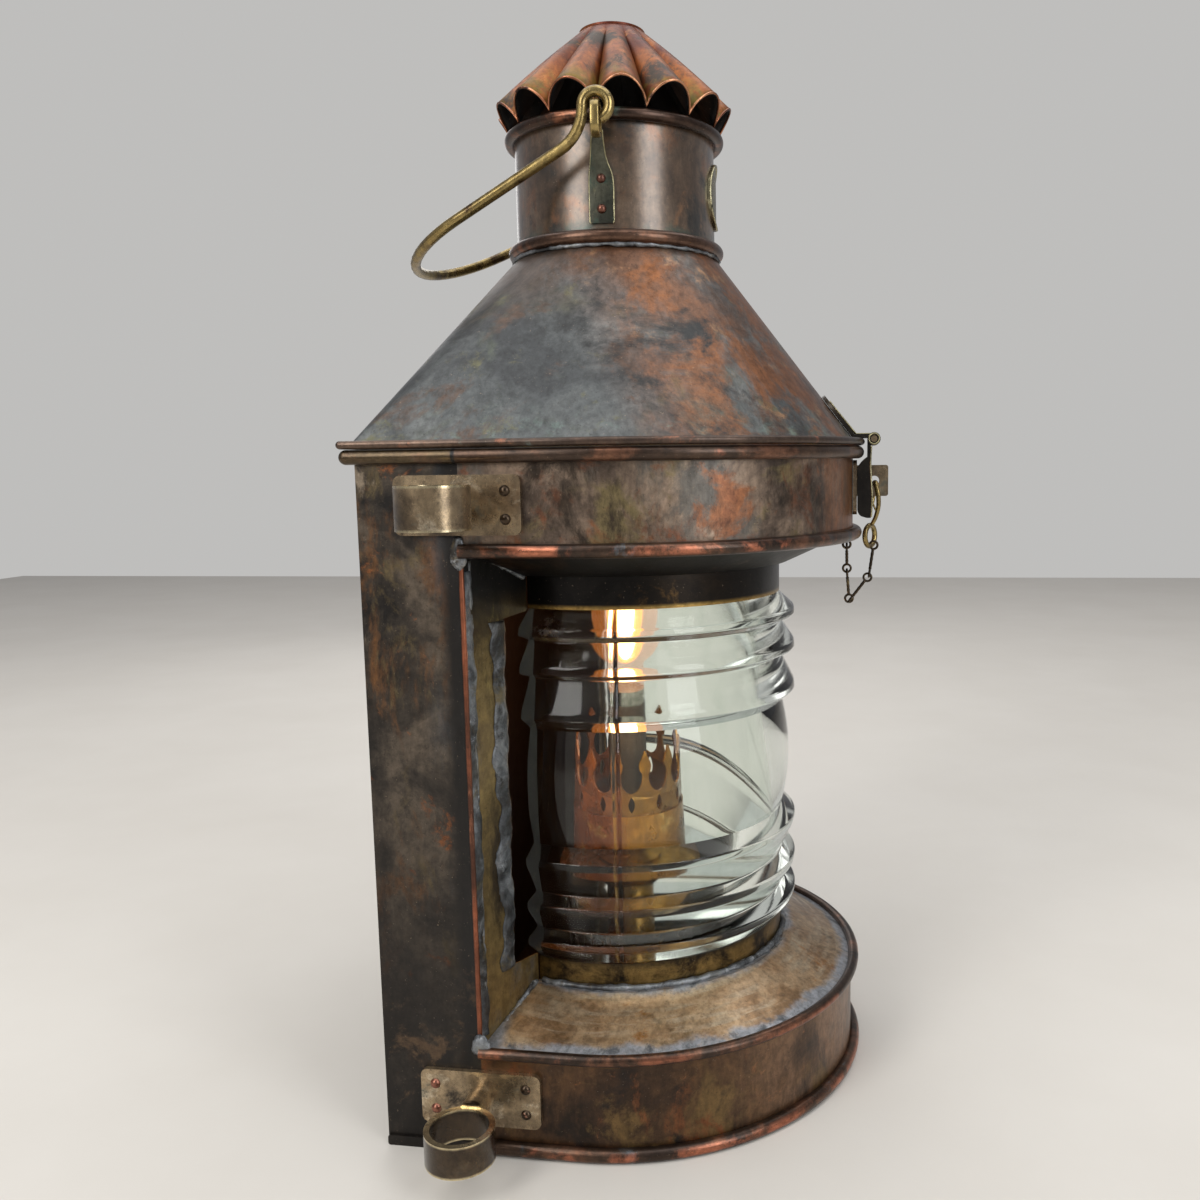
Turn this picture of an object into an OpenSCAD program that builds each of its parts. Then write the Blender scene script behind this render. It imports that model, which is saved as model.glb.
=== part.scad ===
// Masthead lantern: a copper and brass ship's lamp with a wide dioptric lens, a hinged hood and a bail.
// The lens axis is the Z axis, the lantern stands on Z = 0, and its front looks along +X.

/* [Case] */
// Radius of the round front, and half the width of the case
case_r = 150; // [130:1:170]
// Distance from the lens axis to the back panel
case_back = 113.5; // [100:0.5:130]
// Distance behind the lens axis where the front shells meet the side panels
seam_x = 56; // [48:1:64]
// Thickness of the sheet metal
sheet = 1.5; // [1:0.1:2]
// Height of the bead on top of the base drum
drum_top = 60.5; // [50:0.5:75]
// Height of the bead under the upper band
band_bottom = 344; // [330:1:370]
// Height of the bead that the hood sits on
seat_z = 394.4; // [385:0.1:430]
// Rise of the sloping ledges between the case and the lens
ledge_rise = 18; // [12:0.5:24]

/* [Beads] */
// Diameter of the seat bead
seat_bead_d = 8; // [6:0.5:10]
// Diameter of the bead under the upper band
band_bead_d = 8; // [6:0.5:10]
// Diameter of the bead on the base drum
ledge_bead_d = 6.5; // [5:0.5:9]
// Diameter of the bead round the foot
base_bead_d = 8; // [6:0.5:10]
// Diameter of the wired edge of the hood
eave_bead_d = 4.4; // [3:0.2:6]
// How far the seat bead's centre stands outside the case wall
seat_bead_out = 3; // [2.5:0.1:3.5]
// How far the other bead centres stand outside the case wall
bead_out = 1.8; // [1.5:0.1:2.2]

/* [Lens] */
// Radius of the prism tips
lens_r = 112.7; // [108:0.1:116]
// Radius at the roots between the prisms
root_r = 103; // [101:0.1:105]
// Largest radius of the smooth belt
belt_r = 108.5; // [106:0.1:111]
// Radius of the smooth inner face
lens_in_r = 95; // [90:0.5:97]
// Height of the first prism tips above and below the lens centre
ring1_z = 42.2; // [36:0.1:48]
// Height of the second prism tips above and below the lens centre
ring2_z = 69.3; // [64:0.1:74]
// Height of the third prism tips above and below the lens centre
ring3_z = 91.5; // [88:0.1:96]
// Height of the blunt prism edge
tip_h = 4.5; // [2:0.5:6]
// Half of the lens height that shows between the collars
lens_half = 106.3; // [102:0.1:110]
// How far the lens centre sits below the middle of the opening
lens_drop = 2.3; // [0:0.1:5]
// How far the glass runs into each collar
lens_lap = 8; // [5:0.5:10]
// How far the ends of the glass reach past the jambs, as an angle
lens_past = 0; // [0:0.5:8]
// Distance from the prisms to the cut edge of the jambs
jamb_gap = 13; // [8:0.5:16]

/* [Hood] */
// Height of the lower neck bead
neck_bead_z = 520.8; // [510:0.2:540]
// Height of the bead round the top of the neck
neck_rim_z = 588.6; // [575:0.2:605]
// Outer radius of the neck
neck_r = 62.5; // [58:0.5:66]
// Centre radius of the bead round the top of the neck
neck_rim_r = 65.3; // [64:0.1:68]
// Diameter of the top bead
neck_rim_d = 7; // [5:0.5:8]
// Diameter of the lower neck bead
neck_bead_d = 8.5; // [6:0.5:10]
// Turn of the neck fittings away from the lantern's front
neck_turn = 5; // [0:1:10]
// Gap between the underside of the lower bead and the top of the sheet cone
hood_lap = 1; // [0.5:0.5:4]

/* [Cap] */
// Number of flutes round the cap
cap_flutes = 14; // [10:1:18]
// How far each flute stands out at the rim
flute_out = 8; // [5:0.2:10]
// How far each flute arches up at the rim
flute_rise = 14; // [8:0.5:18]
// Height of the cap above the rim of the neck
cap_h = 60.5; // [50:0.5:70]
// Radius of the flat crown
crown_r = 20.5; // [14:0.5:24]
// Direction of one flute, measured from the front
flute_turn = -73.8; // [-90:0.2:0]

/* [Bail] */
// Diameter of the bail rod
bail_d = 6.4; // [5:0.2:7]
// Distance of each bail eye from the neck's axis
bail_eye_y = 80; // [79:0.5:84]
// Centre radius of the eye loops
bail_eye_r = 7.6; // [7.2:0.1:10]
// Reach of the bail from its pivot to the top of its bow
bail_reach = 148; // [135:1:165]
// Slope of the lowered bail below level
bail_slope = 26; // [20:1:28]
// Angle at which each leg leans in towards the bow
bail_lean = 14; // [8:1:18]

/* [Brackets] */
// Width of the bracket plates
plate_w = 70; // [60:1:76]
// Height of the bracket plates
plate_h = 32; // [29:0.5:36]
// Thickness of the bracket plates
plate_t = 3; // [2:0.5:4]
// Height of the lower brackets
bracket_low_z = 33.5; // [30:0.5:36]
// Height of the upper brackets
bracket_high_z = 368.5; // [366:0.5:371]
// Bore of the socket rings
socket_d = 31.6; // [26:0.2:34]
// Wall of the socket rings
socket_wall = 3.2; // [2.5:0.1:4]
// Height of the upper socket rings
socket_h = 22.5; // [18:0.5:28]
// Height of the lower socket rings
low_socket_h = 18; // [14:0.5:24]
// Distance from the case wall to the middle of a socket
socket_out = 36; // [34:0.5:40]
// How far an upper socket sits below the middle of its plate
socket_drop = 0; // [0:0.5:4]
// How far a lower socket sits below the middle of its plate
low_socket_drop = 4.5; // [0:0.5:6]

/* [Hasp and hinge] */
// Distance from the case wall to the hasp pin
hasp_out = 13; // [12.6:0.1:16]
// Diameter of the hasp pin and the hinge pin
pin_d = 4; // [3:0.2:4.6]
// Outer diameter of the knuckles
knuckle_d = 8; // [7.4:0.2:9]
// Width of the hasp
hasp_w = 28; // [26:0.5:34]
// Width of the slot between the hasp prongs
hasp_slot = 13; // [12.5:0.5:15]
// Length of the hasp below its pin
hasp_len = 49; // [44:0.5:52]
// Height of the hole in the staple below the hasp pin
staple_drop = 26; // [22:0.5:30]
// Diameter of the hole in the staple
staple_hole_d = 6; // [5:0.2:7]
// Width of each of the five hinge knuckles
hinge_knuckle_w = 12; // [9:0.5:15]
// Thickness of the hasp, hinge and strap plates
strap_t = 2.2; // [1.8:0.1:2.6]

/* [Chain] */
// Wire diameter of the chain links
chain_d = 1.6; // [1.2:0.1:1.8]
// Wire diameter of the hook
hook_d = 2.6; // [2:0.1:2.8]
// Centre radius of the rounded link ends
link_r = 2.4; // [2.3:0.1:2.6]

/* [Lamp] */
// Radius of the oil font
font_r = 62; // [50:1:75]
// Height of the oil font
font_h = 78; // [60:1:90]
// Radius of the burner cup
burner_r = 37; // [30:1:45]
// Height at which the burner cup starts
burner_z = 134; // [120:1:150]
// Height of the burner cup
burner_h = 32; // [25:1:45]
// Number of finials on the gallery
finials = 12; // [8:1:16]
// Height of the centre of the bulb
bulb_z = 258; // [245:1:270]
// Radius of the bulb
bulb_r = 24; // [18:1:28]

/* [Hidden] */
$fn = 96;

// Clearances between separate pieces
fit = 0.1;
rest_gap = 0.3;
pin_fit = 0.05;
big = 1000;

// Thickness of the thin slices that a loft blends between
slice = 0.2;

// Levels up the case
seat_top = seat_z + seat_bead_d / 2;
hood_z = seat_top + rest_gap;
eave_out = seat_bead_out + eave_bead_d / 2;
eave_z = hood_z + eave_bead_d / 2;
wall_top = seat_z - edge_drop(seat_bead_d, seat_bead_out);
band_wall_bottom = band_bottom + edge_drop(band_bead_d, bead_out);
drum_wall_top = drum_top - edge_drop(ledge_bead_d, bead_out);
lens_mid = (drum_top + band_bottom) / 2 - lens_drop;
low_collar_top = lens_mid - lens_half;
high_collar_bottom = lens_mid + lens_half;
ledge_inner_low = drum_top + ledge_rise;
ledge_inner_high = band_bottom - ledge_rise;
collar_lap = 3;
collar_in_r = root_r - 1.8;
collar_r = collar_in_r + sheet;
jamb_set = 1.4;
jamb_angle = atan2(case_r, -seam_x - jamb_set);
lens_half_angle = jamb_angle + lens_past;

// Levels up the hood
hood_top = neck_bead_z - neck_bead_d / 2 - hood_lap;
neck_bottom = hood_top - 6;
neck_rim_top = neck_rim_z + neck_rim_d / 2;
hood_foot_r = neck_r + 1.7;
hood_drop = 1.5 * sheet;
cap_drop = 1.4;
cap_z = neck_rim_top + cap_drop + rest_gap;

// How far a wall edge stops short of a bead's centre, so that the bead sits on the edge
function edge_drop(d, out) = sqrt(d * d / 4 - out * out) + fit;

// D-shaped plan: a half round front and straight sides that run back
module d_plan(out, back) {
    r = case_r + out;
    intersection() {
        circle(r);
        translate([0, -r]) square([r, 2 * r]);
    }
    translate([-back, -r]) square([back, 2 * r]);
}

// Upright front shell of the D plan, open at the back
module front_shell(z0, z1) {
    translate([0, 0, z0]) linear_extrude(z1 - z0) difference() {
        d_plan(0, seam_x);
        d_plan(-sheet, seam_x + 1);
    }
}

// Round bead along the front and sides of the D plan
module front_bead(d, out, z, back) {
    r = case_r + out;
    translate([0, 0, z]) {
        rotate([0, 0, -90]) rotate_extrude(angle = 180) translate([r, 0]) circle(d = d);
        for (side = [-1, 1]) translate([-back, side * r, 0]) rotate([0, 90, 0]) cylinder(d = d, h = back);
    }
}

// Solid that blends from the D plan at one level to a round at another
module d_loft(out, back, z0, r1, z1) {
    hull() {
        translate([0, 0, min(z0, z0 + sign(z1 - z0) * slice)]) linear_extrude(slice) d_plan(out, back);
        translate([0, 0, min(z1, z1 - sign(z1 - z0) * slice)]) cylinder(r = r1, h = slice);
    }
}

// Everything in front of the two jambs
module front_wedge() {
    far = big / 2;
    tip = far * cos(jamb_angle);
    linear_extrude(big) polygon([[fit, 0], [tip + fit, -far * sin(jamb_angle)], [far, -far], [far, far],
        [tip + fit, far * sin(jamb_angle)]]);
}

// Plate in the X-Z plane with rounded corners, centred on Y = 0
module rounded_plate(w, h, t, r) {
    rotate([90, 0, 0]) linear_extrude(t, center = true) {
        square([w, h - 2 * r], center = true);
        square([w - 2 * r, h], center = true);
        for (x = [-1, 1], y = [-1, 1]) translate([x * (w / 2 - r), y * (h / 2 - r)]) circle(r, $fn = 32);
    }
}

// Domed rivet with its shank: the dome stands on Z = 0 and the shank hangs below
module rivet(head_r, head_h, shank_r, shank_l) {
    dome_r = (head_r * head_r + head_h * head_h) / (2 * head_h);
    rotate_extrude($fn = 32) {
        intersection() {
            translate([0, head_h - dome_r]) circle(dome_r);
            square([head_r, head_h]);
        }
        translate([0, -shank_l]) square([shank_r, shank_l]);
    }
}

// Case: the bent sheet at the sides and back
module back_case() {
    color("#4a3626") linear_extrude(wall_top) difference() {
        translate([-case_back, -case_r]) square([case_back - seam_x, 2 * case_r]);
        translate([-case_back + sheet, -case_r + sheet]) square([case_back, 2 * (case_r - sheet)]);
    }
}

module upper_band() {
    color("#6b5138") front_shell(band_wall_bottom, wall_top);
}

module base_drum() {
    color("#5f452e") front_shell(base_bead_d / 2 + edge_drop(base_bead_d, bead_out), drum_wall_top);
}

module base_plate() {
    inset = base_bead_d / 2 - bead_out + fit;
    color("#4f3b28") linear_extrude(2) d_plan(-inset, case_back - sheet - fit);
}

// Sloping ledges between the case and the lens collars
module ledge(z0, z1, inset, inner_shift) {
    intersection() {
        difference() {
            d_loft(-inset, seam_x, z0, collar_r + 6, z1);
            translate([0, 0, inner_shift]) d_loft(-inset, seam_x + 1, z0, collar_r + 6, z1);
            cylinder(r = collar_r + fit, h = big);
        }
        front_wedge();
    }
}

module lower_ledge() {
    color("#8a7440") ledge(drum_top, ledge_inner_low, ledge_bead_d / 2 - bead_out + fit, -sheet);
}

module upper_ledge() {
    color("#6f5a34") ledge(band_bottom, ledge_inner_high, band_bead_d / 2 - bead_out + fit, sheet);
}

// Beads and hems
module seat_bead_front() {
    color("#5a3c2c") front_bead(seat_bead_d, seat_bead_out, seat_z, seam_x - fit);
}

module seat_bead_side(side) {
    l = case_back + seat_bead_out - seam_x;
    color("#574434") translate([-seam_x - l, side * (case_r + seat_bead_out), seat_z]) {
        rotate([0, 90, 0]) cylinder(d = seat_bead_d, h = l);
        sphere(d = seat_bead_d);
    }
}

module seat_bead_left() {
    seat_bead_side(-1);
}

module seat_bead_right() {
    seat_bead_side(1);
}

module band_bead() {
    color("#5a3c2c") front_bead(band_bead_d, bead_out, band_bottom, seam_x);
}

module ledge_bead() {
    color("#7a4a34") front_bead(ledge_bead_d, bead_out, drum_top, seam_x);
}

module base_bead() {
    color("#8a5238") front_bead(base_bead_d, bead_out, base_bead_d / 2, seam_x);
}

// Folded hems along the feet of the side panels
module side_hems() {
    l = case_back - seam_x;
    hem_h = base_bead_d - 2;
    for (side = [-1, 1]) color("#4a3424")
        translate([-case_back, side * (case_r + fit + sheet / 2), hem_h / 2])
            translate([l / 2 - fit, 0, 0]) rounded_plate(l - 2 * fit, hem_h, sheet, sheet);
}

// Rail that carries the back of the hood
module seat_rail_back() {
    y = case_r - sheet - 1;
    color("#574434") translate([-case_back, -y, wall_top + fit])
        cube([6, 2 * y, seat_top - wall_top - fit]);
}

// Glass
function belt_arc() = let(c = ring1_z - 4, s = belt_r - root_r, a = (c * c + s * s) / (2 * s))
    [for (i = [-12:12]) let(z = c * i / 12) [belt_r - a + sqrt(a * a - z * z), z]];

// Outline of one half of the prisms, from the belt up to the collar
function prisms() = [
    [lens_r, ring1_z], [lens_r - 0.6, ring1_z + tip_h], [root_r, ring2_z - 4],
    [lens_r, ring2_z], [lens_r - 0.6, ring2_z + tip_h], [root_r, ring3_z - 4],
    [lens_r, ring3_z], [lens_r - 0.6, ring3_z + tip_h], [collar_in_r - fit, lens_half]];

function lens_face() = concat(
    [for (i = [len(prisms()) - 1:-1:0]) [prisms()[i].x, -prisms()[i].y]], belt_arc(), prisms());

module swept_round(half_angle) {
    rotate([0, 0, -half_angle]) rotate_extrude(angle = 2 * half_angle) children();
}

module lens() {
    end_z = lens_half + lens_lap;
    end_r = collar_in_r - fit;
    color("#cfe0d4", 0.45) translate([0, 0, lens_mid]) swept_round(lens_half_angle)
        polygon(concat([[lens_in_r, -end_z], [end_r, -end_z]], lens_face(),
            [[end_r, end_z], [lens_in_r, end_z]]));
}

// L-shaped collar: its wall hides the edge of the glass and its lip backs the glass up
module collar(glass_end, wall_end) {
    wall = sign(wall_end - glass_end);
    lip = glass_end + wall * (lens_lap + fit);
    swept_round(lens_half_angle) {
        translate([collar_in_r, min(glass_end, wall_end)]) square([sheet, abs(wall_end - glass_end)]);
        translate([lens_in_r, min(lip, lip + wall * sheet)]) square([collar_in_r - lens_in_r + fit, sheet]);
    }
}

module lens_collar_upper() {
    color("#4f3a20") collar(high_collar_bottom, ledge_inner_high + collar_lap);
}

module lens_collar_lower() {
    color("#8a6f34") collar(low_collar_top, ledge_inner_low - collar_lap);
}

// Jamb: an upright screen from the case wall towards the lens, with its edge cut round the prisms
module jamb(side) {
    wall_r = (case_r - sheet - fit) / sin(jamb_angle);
    foot_r = collar_r + 1;
    color("#8a7440") rotate([0, 0, side * jamb_angle]) translate([0, side > 0 ? sheet : 0, 0])
        rotate([90, 0, 0]) linear_extrude(sheet) polygon(concat(
            [[wall_r, drum_wall_top], [foot_r, drum_wall_top], [foot_r, low_collar_top]],
            [for (p = lens_face()) [p.x + jamb_gap, p.y + lens_mid]],
            [[foot_r, high_collar_bottom], [foot_r, band_wall_bottom], [wall_r, band_wall_bottom]]));
}

module jamb_left() {
    jamb(-1);
}

module jamb_right() {
    jamb(1);
}

// Places of the four rivets on a bracket plate
rivet_inset = 8.5;
rivet_x = plate_w / 2 - rivet_inset;
rivet_z = plate_h / 2 - rivet_inset;
rivet_shank_r = 1.6;

// Socket bracket: a plate, a boss and a ring that slides over an upright rod
module bracket(side, z, h, drop) {
    socket_r = socket_d / 2;
    ring_r = socket_r + socket_wall;
    boss_d = 15;
    color("#8f7b4a") translate([-seam_x, side * case_r, z]) scale([1, -side, 1]) difference() {
        union() {
            translate([0, -fit - plate_t / 2, 0]) rounded_plate(plate_w, plate_h, plate_t, 4);
            translate([0, -fit, 0]) rotate([90, 0, 0])
                cylinder(d = boss_d, h = socket_out - ring_r + socket_wall / 2);
            translate([0, -socket_out, -drop - h / 2]) cylinder(r = ring_r, h = h);
        }
        translate([0, -socket_out, -drop - h]) cylinder(r = socket_r, h = 2 * h);
        for (x = [-1, 1], y = [-1, 1]) translate([x * rivet_x, 0, y * rivet_z])
            rotate([90, 0, 0])
                cylinder(r = rivet_shank_r + pin_fit, h = 3 * plate_t, center = true, $fn = 32);
    }
}

module bracket_upper_left() {
    bracket(-1, bracket_high_z, socket_h, socket_drop);
}

module bracket_upper_right() {
    bracket(1, bracket_high_z, socket_h, socket_drop);
}

module bracket_lower_left() {
    bracket(-1, bracket_low_z, low_socket_h, low_socket_drop);
}

module bracket_lower_right() {
    bracket(1, bracket_low_z, low_socket_h, low_socket_drop);
}

module bracket_rivets() {
    for (side = [-1, 1], z = [bracket_low_z, bracket_high_z], x = [-1, 1], y = [-1, 1])
        color("#8a5f48")
            translate([-seam_x + x * rivet_x, side * (case_r + plate_t + 1.5 * fit), z + y * rivet_z])
            rotate([-side * 90, 0, 0]) rivet(3, 2, rivet_shank_r, plate_t);
}

// Hood hinge at the back
knuckle_r = knuckle_d / 2;
hinge_x = -(case_back + eave_out + eave_bead_d / 2 + knuckle_r + rest_gap);
hinge_z = seat_top - knuckle_r + 3.4;
hinge_gap = 0.4;
hinge_w = 5 * hinge_knuckle_w;

function knuckle_y(i) = (i - 2) * hinge_knuckle_w;

// One knuckle along Y, centred on Y = 0
module knuckle(w) {
    rotate([90, 0, 0]) difference() {
        cylinder(d = knuckle_d, h = w, center = true);
        cylinder(d = pin_d + 2 * pin_fit, h = w + 1, center = true);
    }
}

module hinge_leaf_case() {
    leaf_x = -case_back - fit - strap_t;
    leaf_h = 26;
    web_top = seat_top - rest_gap;
    web_bottom = web_top - strap_t;
    color("#7d6a3c") {
        translate([leaf_x, -hinge_w / 2, web_top - leaf_h]) cube([strap_t, hinge_w, leaf_h]);
        for (i = [0, 2, 4]) translate([hinge_x, knuckle_y(i), hinge_z]) difference() {
            w = hinge_knuckle_w - hinge_gap;
            union() {
                knuckle(w);
                translate([0, -w / 2, web_bottom - hinge_z])
                    cube([leaf_x - hinge_x + strap_t / 2, w, strap_t]);
            }
            rotate([90, 0, 0]) cylinder(d = pin_d + 2 * pin_fit, h = w + 1, center = true);
        }
    }
}

module hinge_pin() {
    color("#6b5a34") translate([hinge_x, 0, hinge_z]) rotate([90, 0, 0])
        cylinder(d = pin_d, h = hinge_w + 2, center = true);
}

// Slope of the hood's sheet at the front and at the back, as the angle above level
hood_rise = hood_top - hood_z;
front_run = case_r + seat_bead_out - fit - hood_foot_r;
back_run = case_back + seat_bead_out - fit - hood_foot_r;
front_slope = atan2(hood_rise, front_run);
back_slope = atan2(hood_rise, back_run);
strap_z = eave_z + eave_bead_d / 2 + fit;

// Where a level plate at the strap's height comes up against the hood's slope
function strap_start(foot_r, slope) = foot_r - (strap_z - hood_z) / tan(slope) + fit + slice;

// Flat strap that lies up the hood's slope, drawn at the front with its foot at the eave
module slope_strap(foot_r, slope, w, l) {
    translate([foot_r, 0, hood_z]) rotate([0, slope - 180, 0]) {
        lift = 5.5;
        under = -strap_t - fit - slice;
        translate([lift, -w / 2, under]) cube([l - lift, w, strap_t]);
        translate([l, 0, under]) cylinder(d = w, h = strap_t);
    }
}

module hinge_leaf_lid() {
    w = hinge_knuckle_w - hinge_gap;
    foot_r = case_back + seat_bead_out - fit;
    color("#7d6a3c") {
        for (i = [1, 3]) translate([hinge_x, knuckle_y(i), hinge_z]) difference() {
            union() {
                knuckle(w);
                translate([-knuckle_r, -w / 2, 0]) cube([knuckle_d - fit, w, strap_z + strap_t - hinge_z]);
                translate([-knuckle_r, -w / 2, strap_z - hinge_z])
                    cube([knuckle_r - hinge_x - strap_start(foot_r, back_slope), w, strap_t]);
            }
            rotate([90, 0, 0]) cylinder(d = pin_d + 2 * pin_fit, h = w + 1, center = true);
        }
        for (i = [1, 3]) translate([0, knuckle_y(i), 0]) mirror([1, 0, 0])
            slope_strap(foot_r, back_slope, w - slice, 26);
    }
}

// Hasp at the front
hasp_x = case_r + hasp_out;
hasp_z = seat_top + knuckle_r;
hasp_knuckle_w = 16;
prong_top = 9;

module hasp_roof_strap() {
    y = (hasp_knuckle_w + hinge_gap) / 2;
    w = hasp_w / 2 - y;
    foot_r = case_r + seat_bead_out - fit;
    color("#77683f") {
        slope_strap(foot_r, front_slope, hasp_w - slice, 24);
        for (side = [-1, 1]) translate([hasp_x, side * (y + w / 2), hasp_z]) difference() {
            run = hasp_x - strap_start(foot_r, front_slope);
            union() {
                knuckle(w);
                translate([-run, -w / 2, strap_z - hasp_z]) cube([run, w, strap_t]);
            }
            rotate([90, 0, 0]) cylinder(d = pin_d + 2 * pin_fit, h = w + 1, center = true);
        }
    }
}

module hasp_pin() {
    color("#6b5a34") translate([hasp_x, 0, hasp_z]) rotate([90, 0, 0])
        cylinder(d = pin_d, h = hasp_w + 1, center = true);
}

// Hanging hasp: a knuckle, a tongue and two prongs beside the staple
module hasp() {
    prong = (hasp_w - hasp_slot) / 2;
    tongue_w = hasp_knuckle_w - hinge_gap;
    color("#6a5c38") translate([hasp_x, 0, hasp_z]) {
        difference() {
            union() {
                knuckle(tongue_w);
                translate([-knuckle_r, -tongue_w / 2, -prong_top]) cube([strap_t, tongue_w, prong_top]);
            }
            rotate([90, 0, 0]) cylinder(d = pin_d + 2 * pin_fit, h = tongue_w + 1, center = true);
        }
        translate([-knuckle_r, -hasp_w / 2, -prong_top - 6]) cube([strap_t, hasp_w, 6]);
        for (side = [-1, 1]) translate([-knuckle_r, side * (hasp_slot + prong) / 2 - prong / 2, -hasp_len])
            cube([strap_t, prong, hasp_len - prong_top]);
    }
}

// Staple: a foot plate on the band and a lug that stands out between the prongs
staple_z = hasp_z - staple_drop;
staple_t = 4;
hole_x = hasp_x + 0.5;
lug_h = 19.5;
lug_end = 22;

module hasp_staple() {
    foot_t = 2.5;
    foot_z = staple_z - 4;
    color("#8f7b4a") {
        translate([case_r + fit + foot_t / 2, 0, foot_z]) rotate([0, 0, 90]) rounded_plate(22, 34, foot_t, 3);
        difference() {
            translate([case_r + fit + lug_end / 2, 0, staple_z]) rounded_plate(lug_end, lug_h, staple_t, 1.5);
            translate([hole_x, 0, staple_z]) rotate([90, 0, 0])
                cylinder(d = staple_hole_d, h = big / 10, center = true);
        }
    }
}

// Round-ended wire link in a plane: local X runs along the link and local Y across it
module link(l, end_r, d) {
    rotate([0, 0, -90]) rotate_extrude(angle = 180) translate([end_r, 0]) circle(d = d, $fn = 24);
    translate([-l, 0, 0]) rotate([0, 0, 90]) rotate_extrude(angle = 180)
        translate([end_r, 0]) circle(d = d, $fn = 24);
    for (side = [-1, 1]) translate([-l, side * end_r, 0]) rotate([0, 90, 0]) cylinder(d = d, h = l, $fn = 24);
}

// Places in X and Z where the links cross, from the hook down and up again to the eye
hook_r = 4;
hook_drop = hook_r - sqrt(pow(hook_r - hook_d / 2, 2) - staple_t * staple_t / 4);
hook_top = staple_z - staple_hole_d / 2 + hook_drop + 2 * fit;
hook_bottom = band_bottom - 7;
eye_z = band_bottom - 8;
crossings = [[hole_x, hook_bottom], [hole_x - 3, hook_bottom - 21], [case_r - 2, hook_bottom - 37.5],
    [case_r - 3.5, hook_bottom - 18], [case_r - 3.7, eye_z]];

module staple_hook() {
    gate = 7;
    l = hook_top - hook_bottom - 2 * hook_r;
    color("#8a7440") difference() {
        translate([hole_x, 0, hook_top - hook_r]) rotate([0, -90, 0]) link(l, hook_r, hook_d);
        translate([hole_x, hook_r, hook_top - 20]) cube([hook_d + 1, hook_d + 1, gate], center = true);
    }
}

// Link between two crossings: flat links lie in the X-Z plane and reach round the upright ones
module chain_link(from, to, flat) {
    span = norm(to - from);
    angle = atan2(to.y - from.y, to.x - from.x);
    translate([to.x, 0, to.y]) rotate([0, -angle, 0])
        if (flat) rotate([90, 0, 0]) link(span, link_r, chain_d);
        else translate([-link_r, 0, 0]) link(span - 2 * link_r, link_r, chain_d);
}

module safety_chain() {
    color("#5e4a34") for (i = [0:len(crossings) - 2]) chain_link(crossings[i], crossings[i + 1], i % 2 == 0);
}

// Eye under the upper ledge that holds the end of the chain
module chain_eye() {
    eye = crossings[len(crossings) - 1];
    ledge_z = band_bottom - ledge_rise * (case_r - eye.x) / (case_r - collar_r);
    color("#5e4a34") translate([eye.x, 0, eye.y]) {
        rotate([90, 0, 0]) rotate_extrude() translate([link_r, 0]) circle(d = chain_d, $fn = 24);
        translate([0, 0, link_r]) cylinder(d = chain_d, h = ledge_z - eye.y - link_r - 1.2);
    }
}

// Lamp inside the case
plate_top = 2;
font_top = plate_top + font_h;
cup_wall = 1.2;
gallery_z = burner_z + burner_h + fit;
holder_r = 13;
bulb_neck = bulb_z - bulb_r - 8;

// Font: a pressed shell that the base plate closes
module oil_font() {
    w = 1.5;
    shoulder = 10;
    top_r = font_r - 2 * shoulder;
    color("#9a7b3c") translate([0, 0, plate_top + fit]) rotate_extrude()
        polygon([[font_r - w, 0], [font_r, 0], [font_r, font_h - shoulder], [top_r, font_h - fit],
            [0, font_h - fit], [0, font_h - w], [top_r - w / 2, font_h - w],
            [font_r - w, font_h - shoulder - w / 2]]);
}

module burner_foot() {
    base_r = 26;
    base_h = 5;
    stem_r = 15;
    top_r = 24;
    flare = 9;
    h = burner_z - font_top - 2 * fit;
    color("#a8873e") translate([0, 0, font_top + fit]) rotate_extrude()
        polygon([[0, 0], [base_r, 0], [base_r, base_h], [stem_r, flare], [stem_r, h - flare],
            [top_r, h], [0, h]]);
}

module burner_cup() {
    color("#a5552c") translate([0, 0, burner_z]) difference() {
        cylinder(r = burner_r, h = burner_h);
        translate([0, 0, cup_wall]) cylinder(r = burner_r - cup_wall, h = burner_h);
    }
}

// Gallery: a pierced ring with pointed finials
module burner_gallery() {
    ring_h = 12;
    finial_h = 23;
    color("#b08d3f") translate([0, 0, gallery_z]) {
        difference() {
            cylinder(r = burner_r, h = ring_h);
            translate([0, 0, -1]) cylinder(r = burner_r - 2 * cup_wall, h = ring_h + 2);
        }
        for (i = [0:finials - 1]) rotate([0, 0, i * 360 / finials])
            translate([burner_r - cup_wall, 0, ring_h])
                cylinder(r1 = cup_wall, r2 = cup_wall / 2, h = finial_h, $fn = 24);
    }
}

module lamp_holder() {
    color("#3a3230") translate([0, 0, burner_z + cup_wall + fit])
        cylinder(r = holder_r, h = bulb_neck - burner_z - 12);
}

module bulb_cap() {
    z0 = bulb_neck - 12 + cup_wall + 2 * fit;
    color("#b5b0a4") translate([0, 0, z0]) cylinder(r = holder_r - 0.5, h = bulb_neck - z0 - fit);
}

module bulb_glass() {
    color("#fff0c8", 0.8) rotate_extrude() intersection() {
        union() {
            translate([0, bulb_z]) circle(bulb_r);
            translate([0, bulb_neck]) square([holder_r - 0.5, bulb_z - bulb_neck]);
        }
        translate([0, bulb_neck]) square([bulb_r, 3 * bulb_r]);
    }
}

// Hood: sheet cone that blends the D plan into the neck
module roof() {
    out = seat_bead_out - fit;
    color("#5c6062") difference() {
        d_loft(out, case_back + out, hood_z, hood_foot_r, hood_top);
        translate([0, 0, -hood_drop]) d_loft(out, case_back + out, hood_z, hood_foot_r, hood_top);
        cylinder(r = neck_r + fit, h = big);
    }
}

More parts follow.
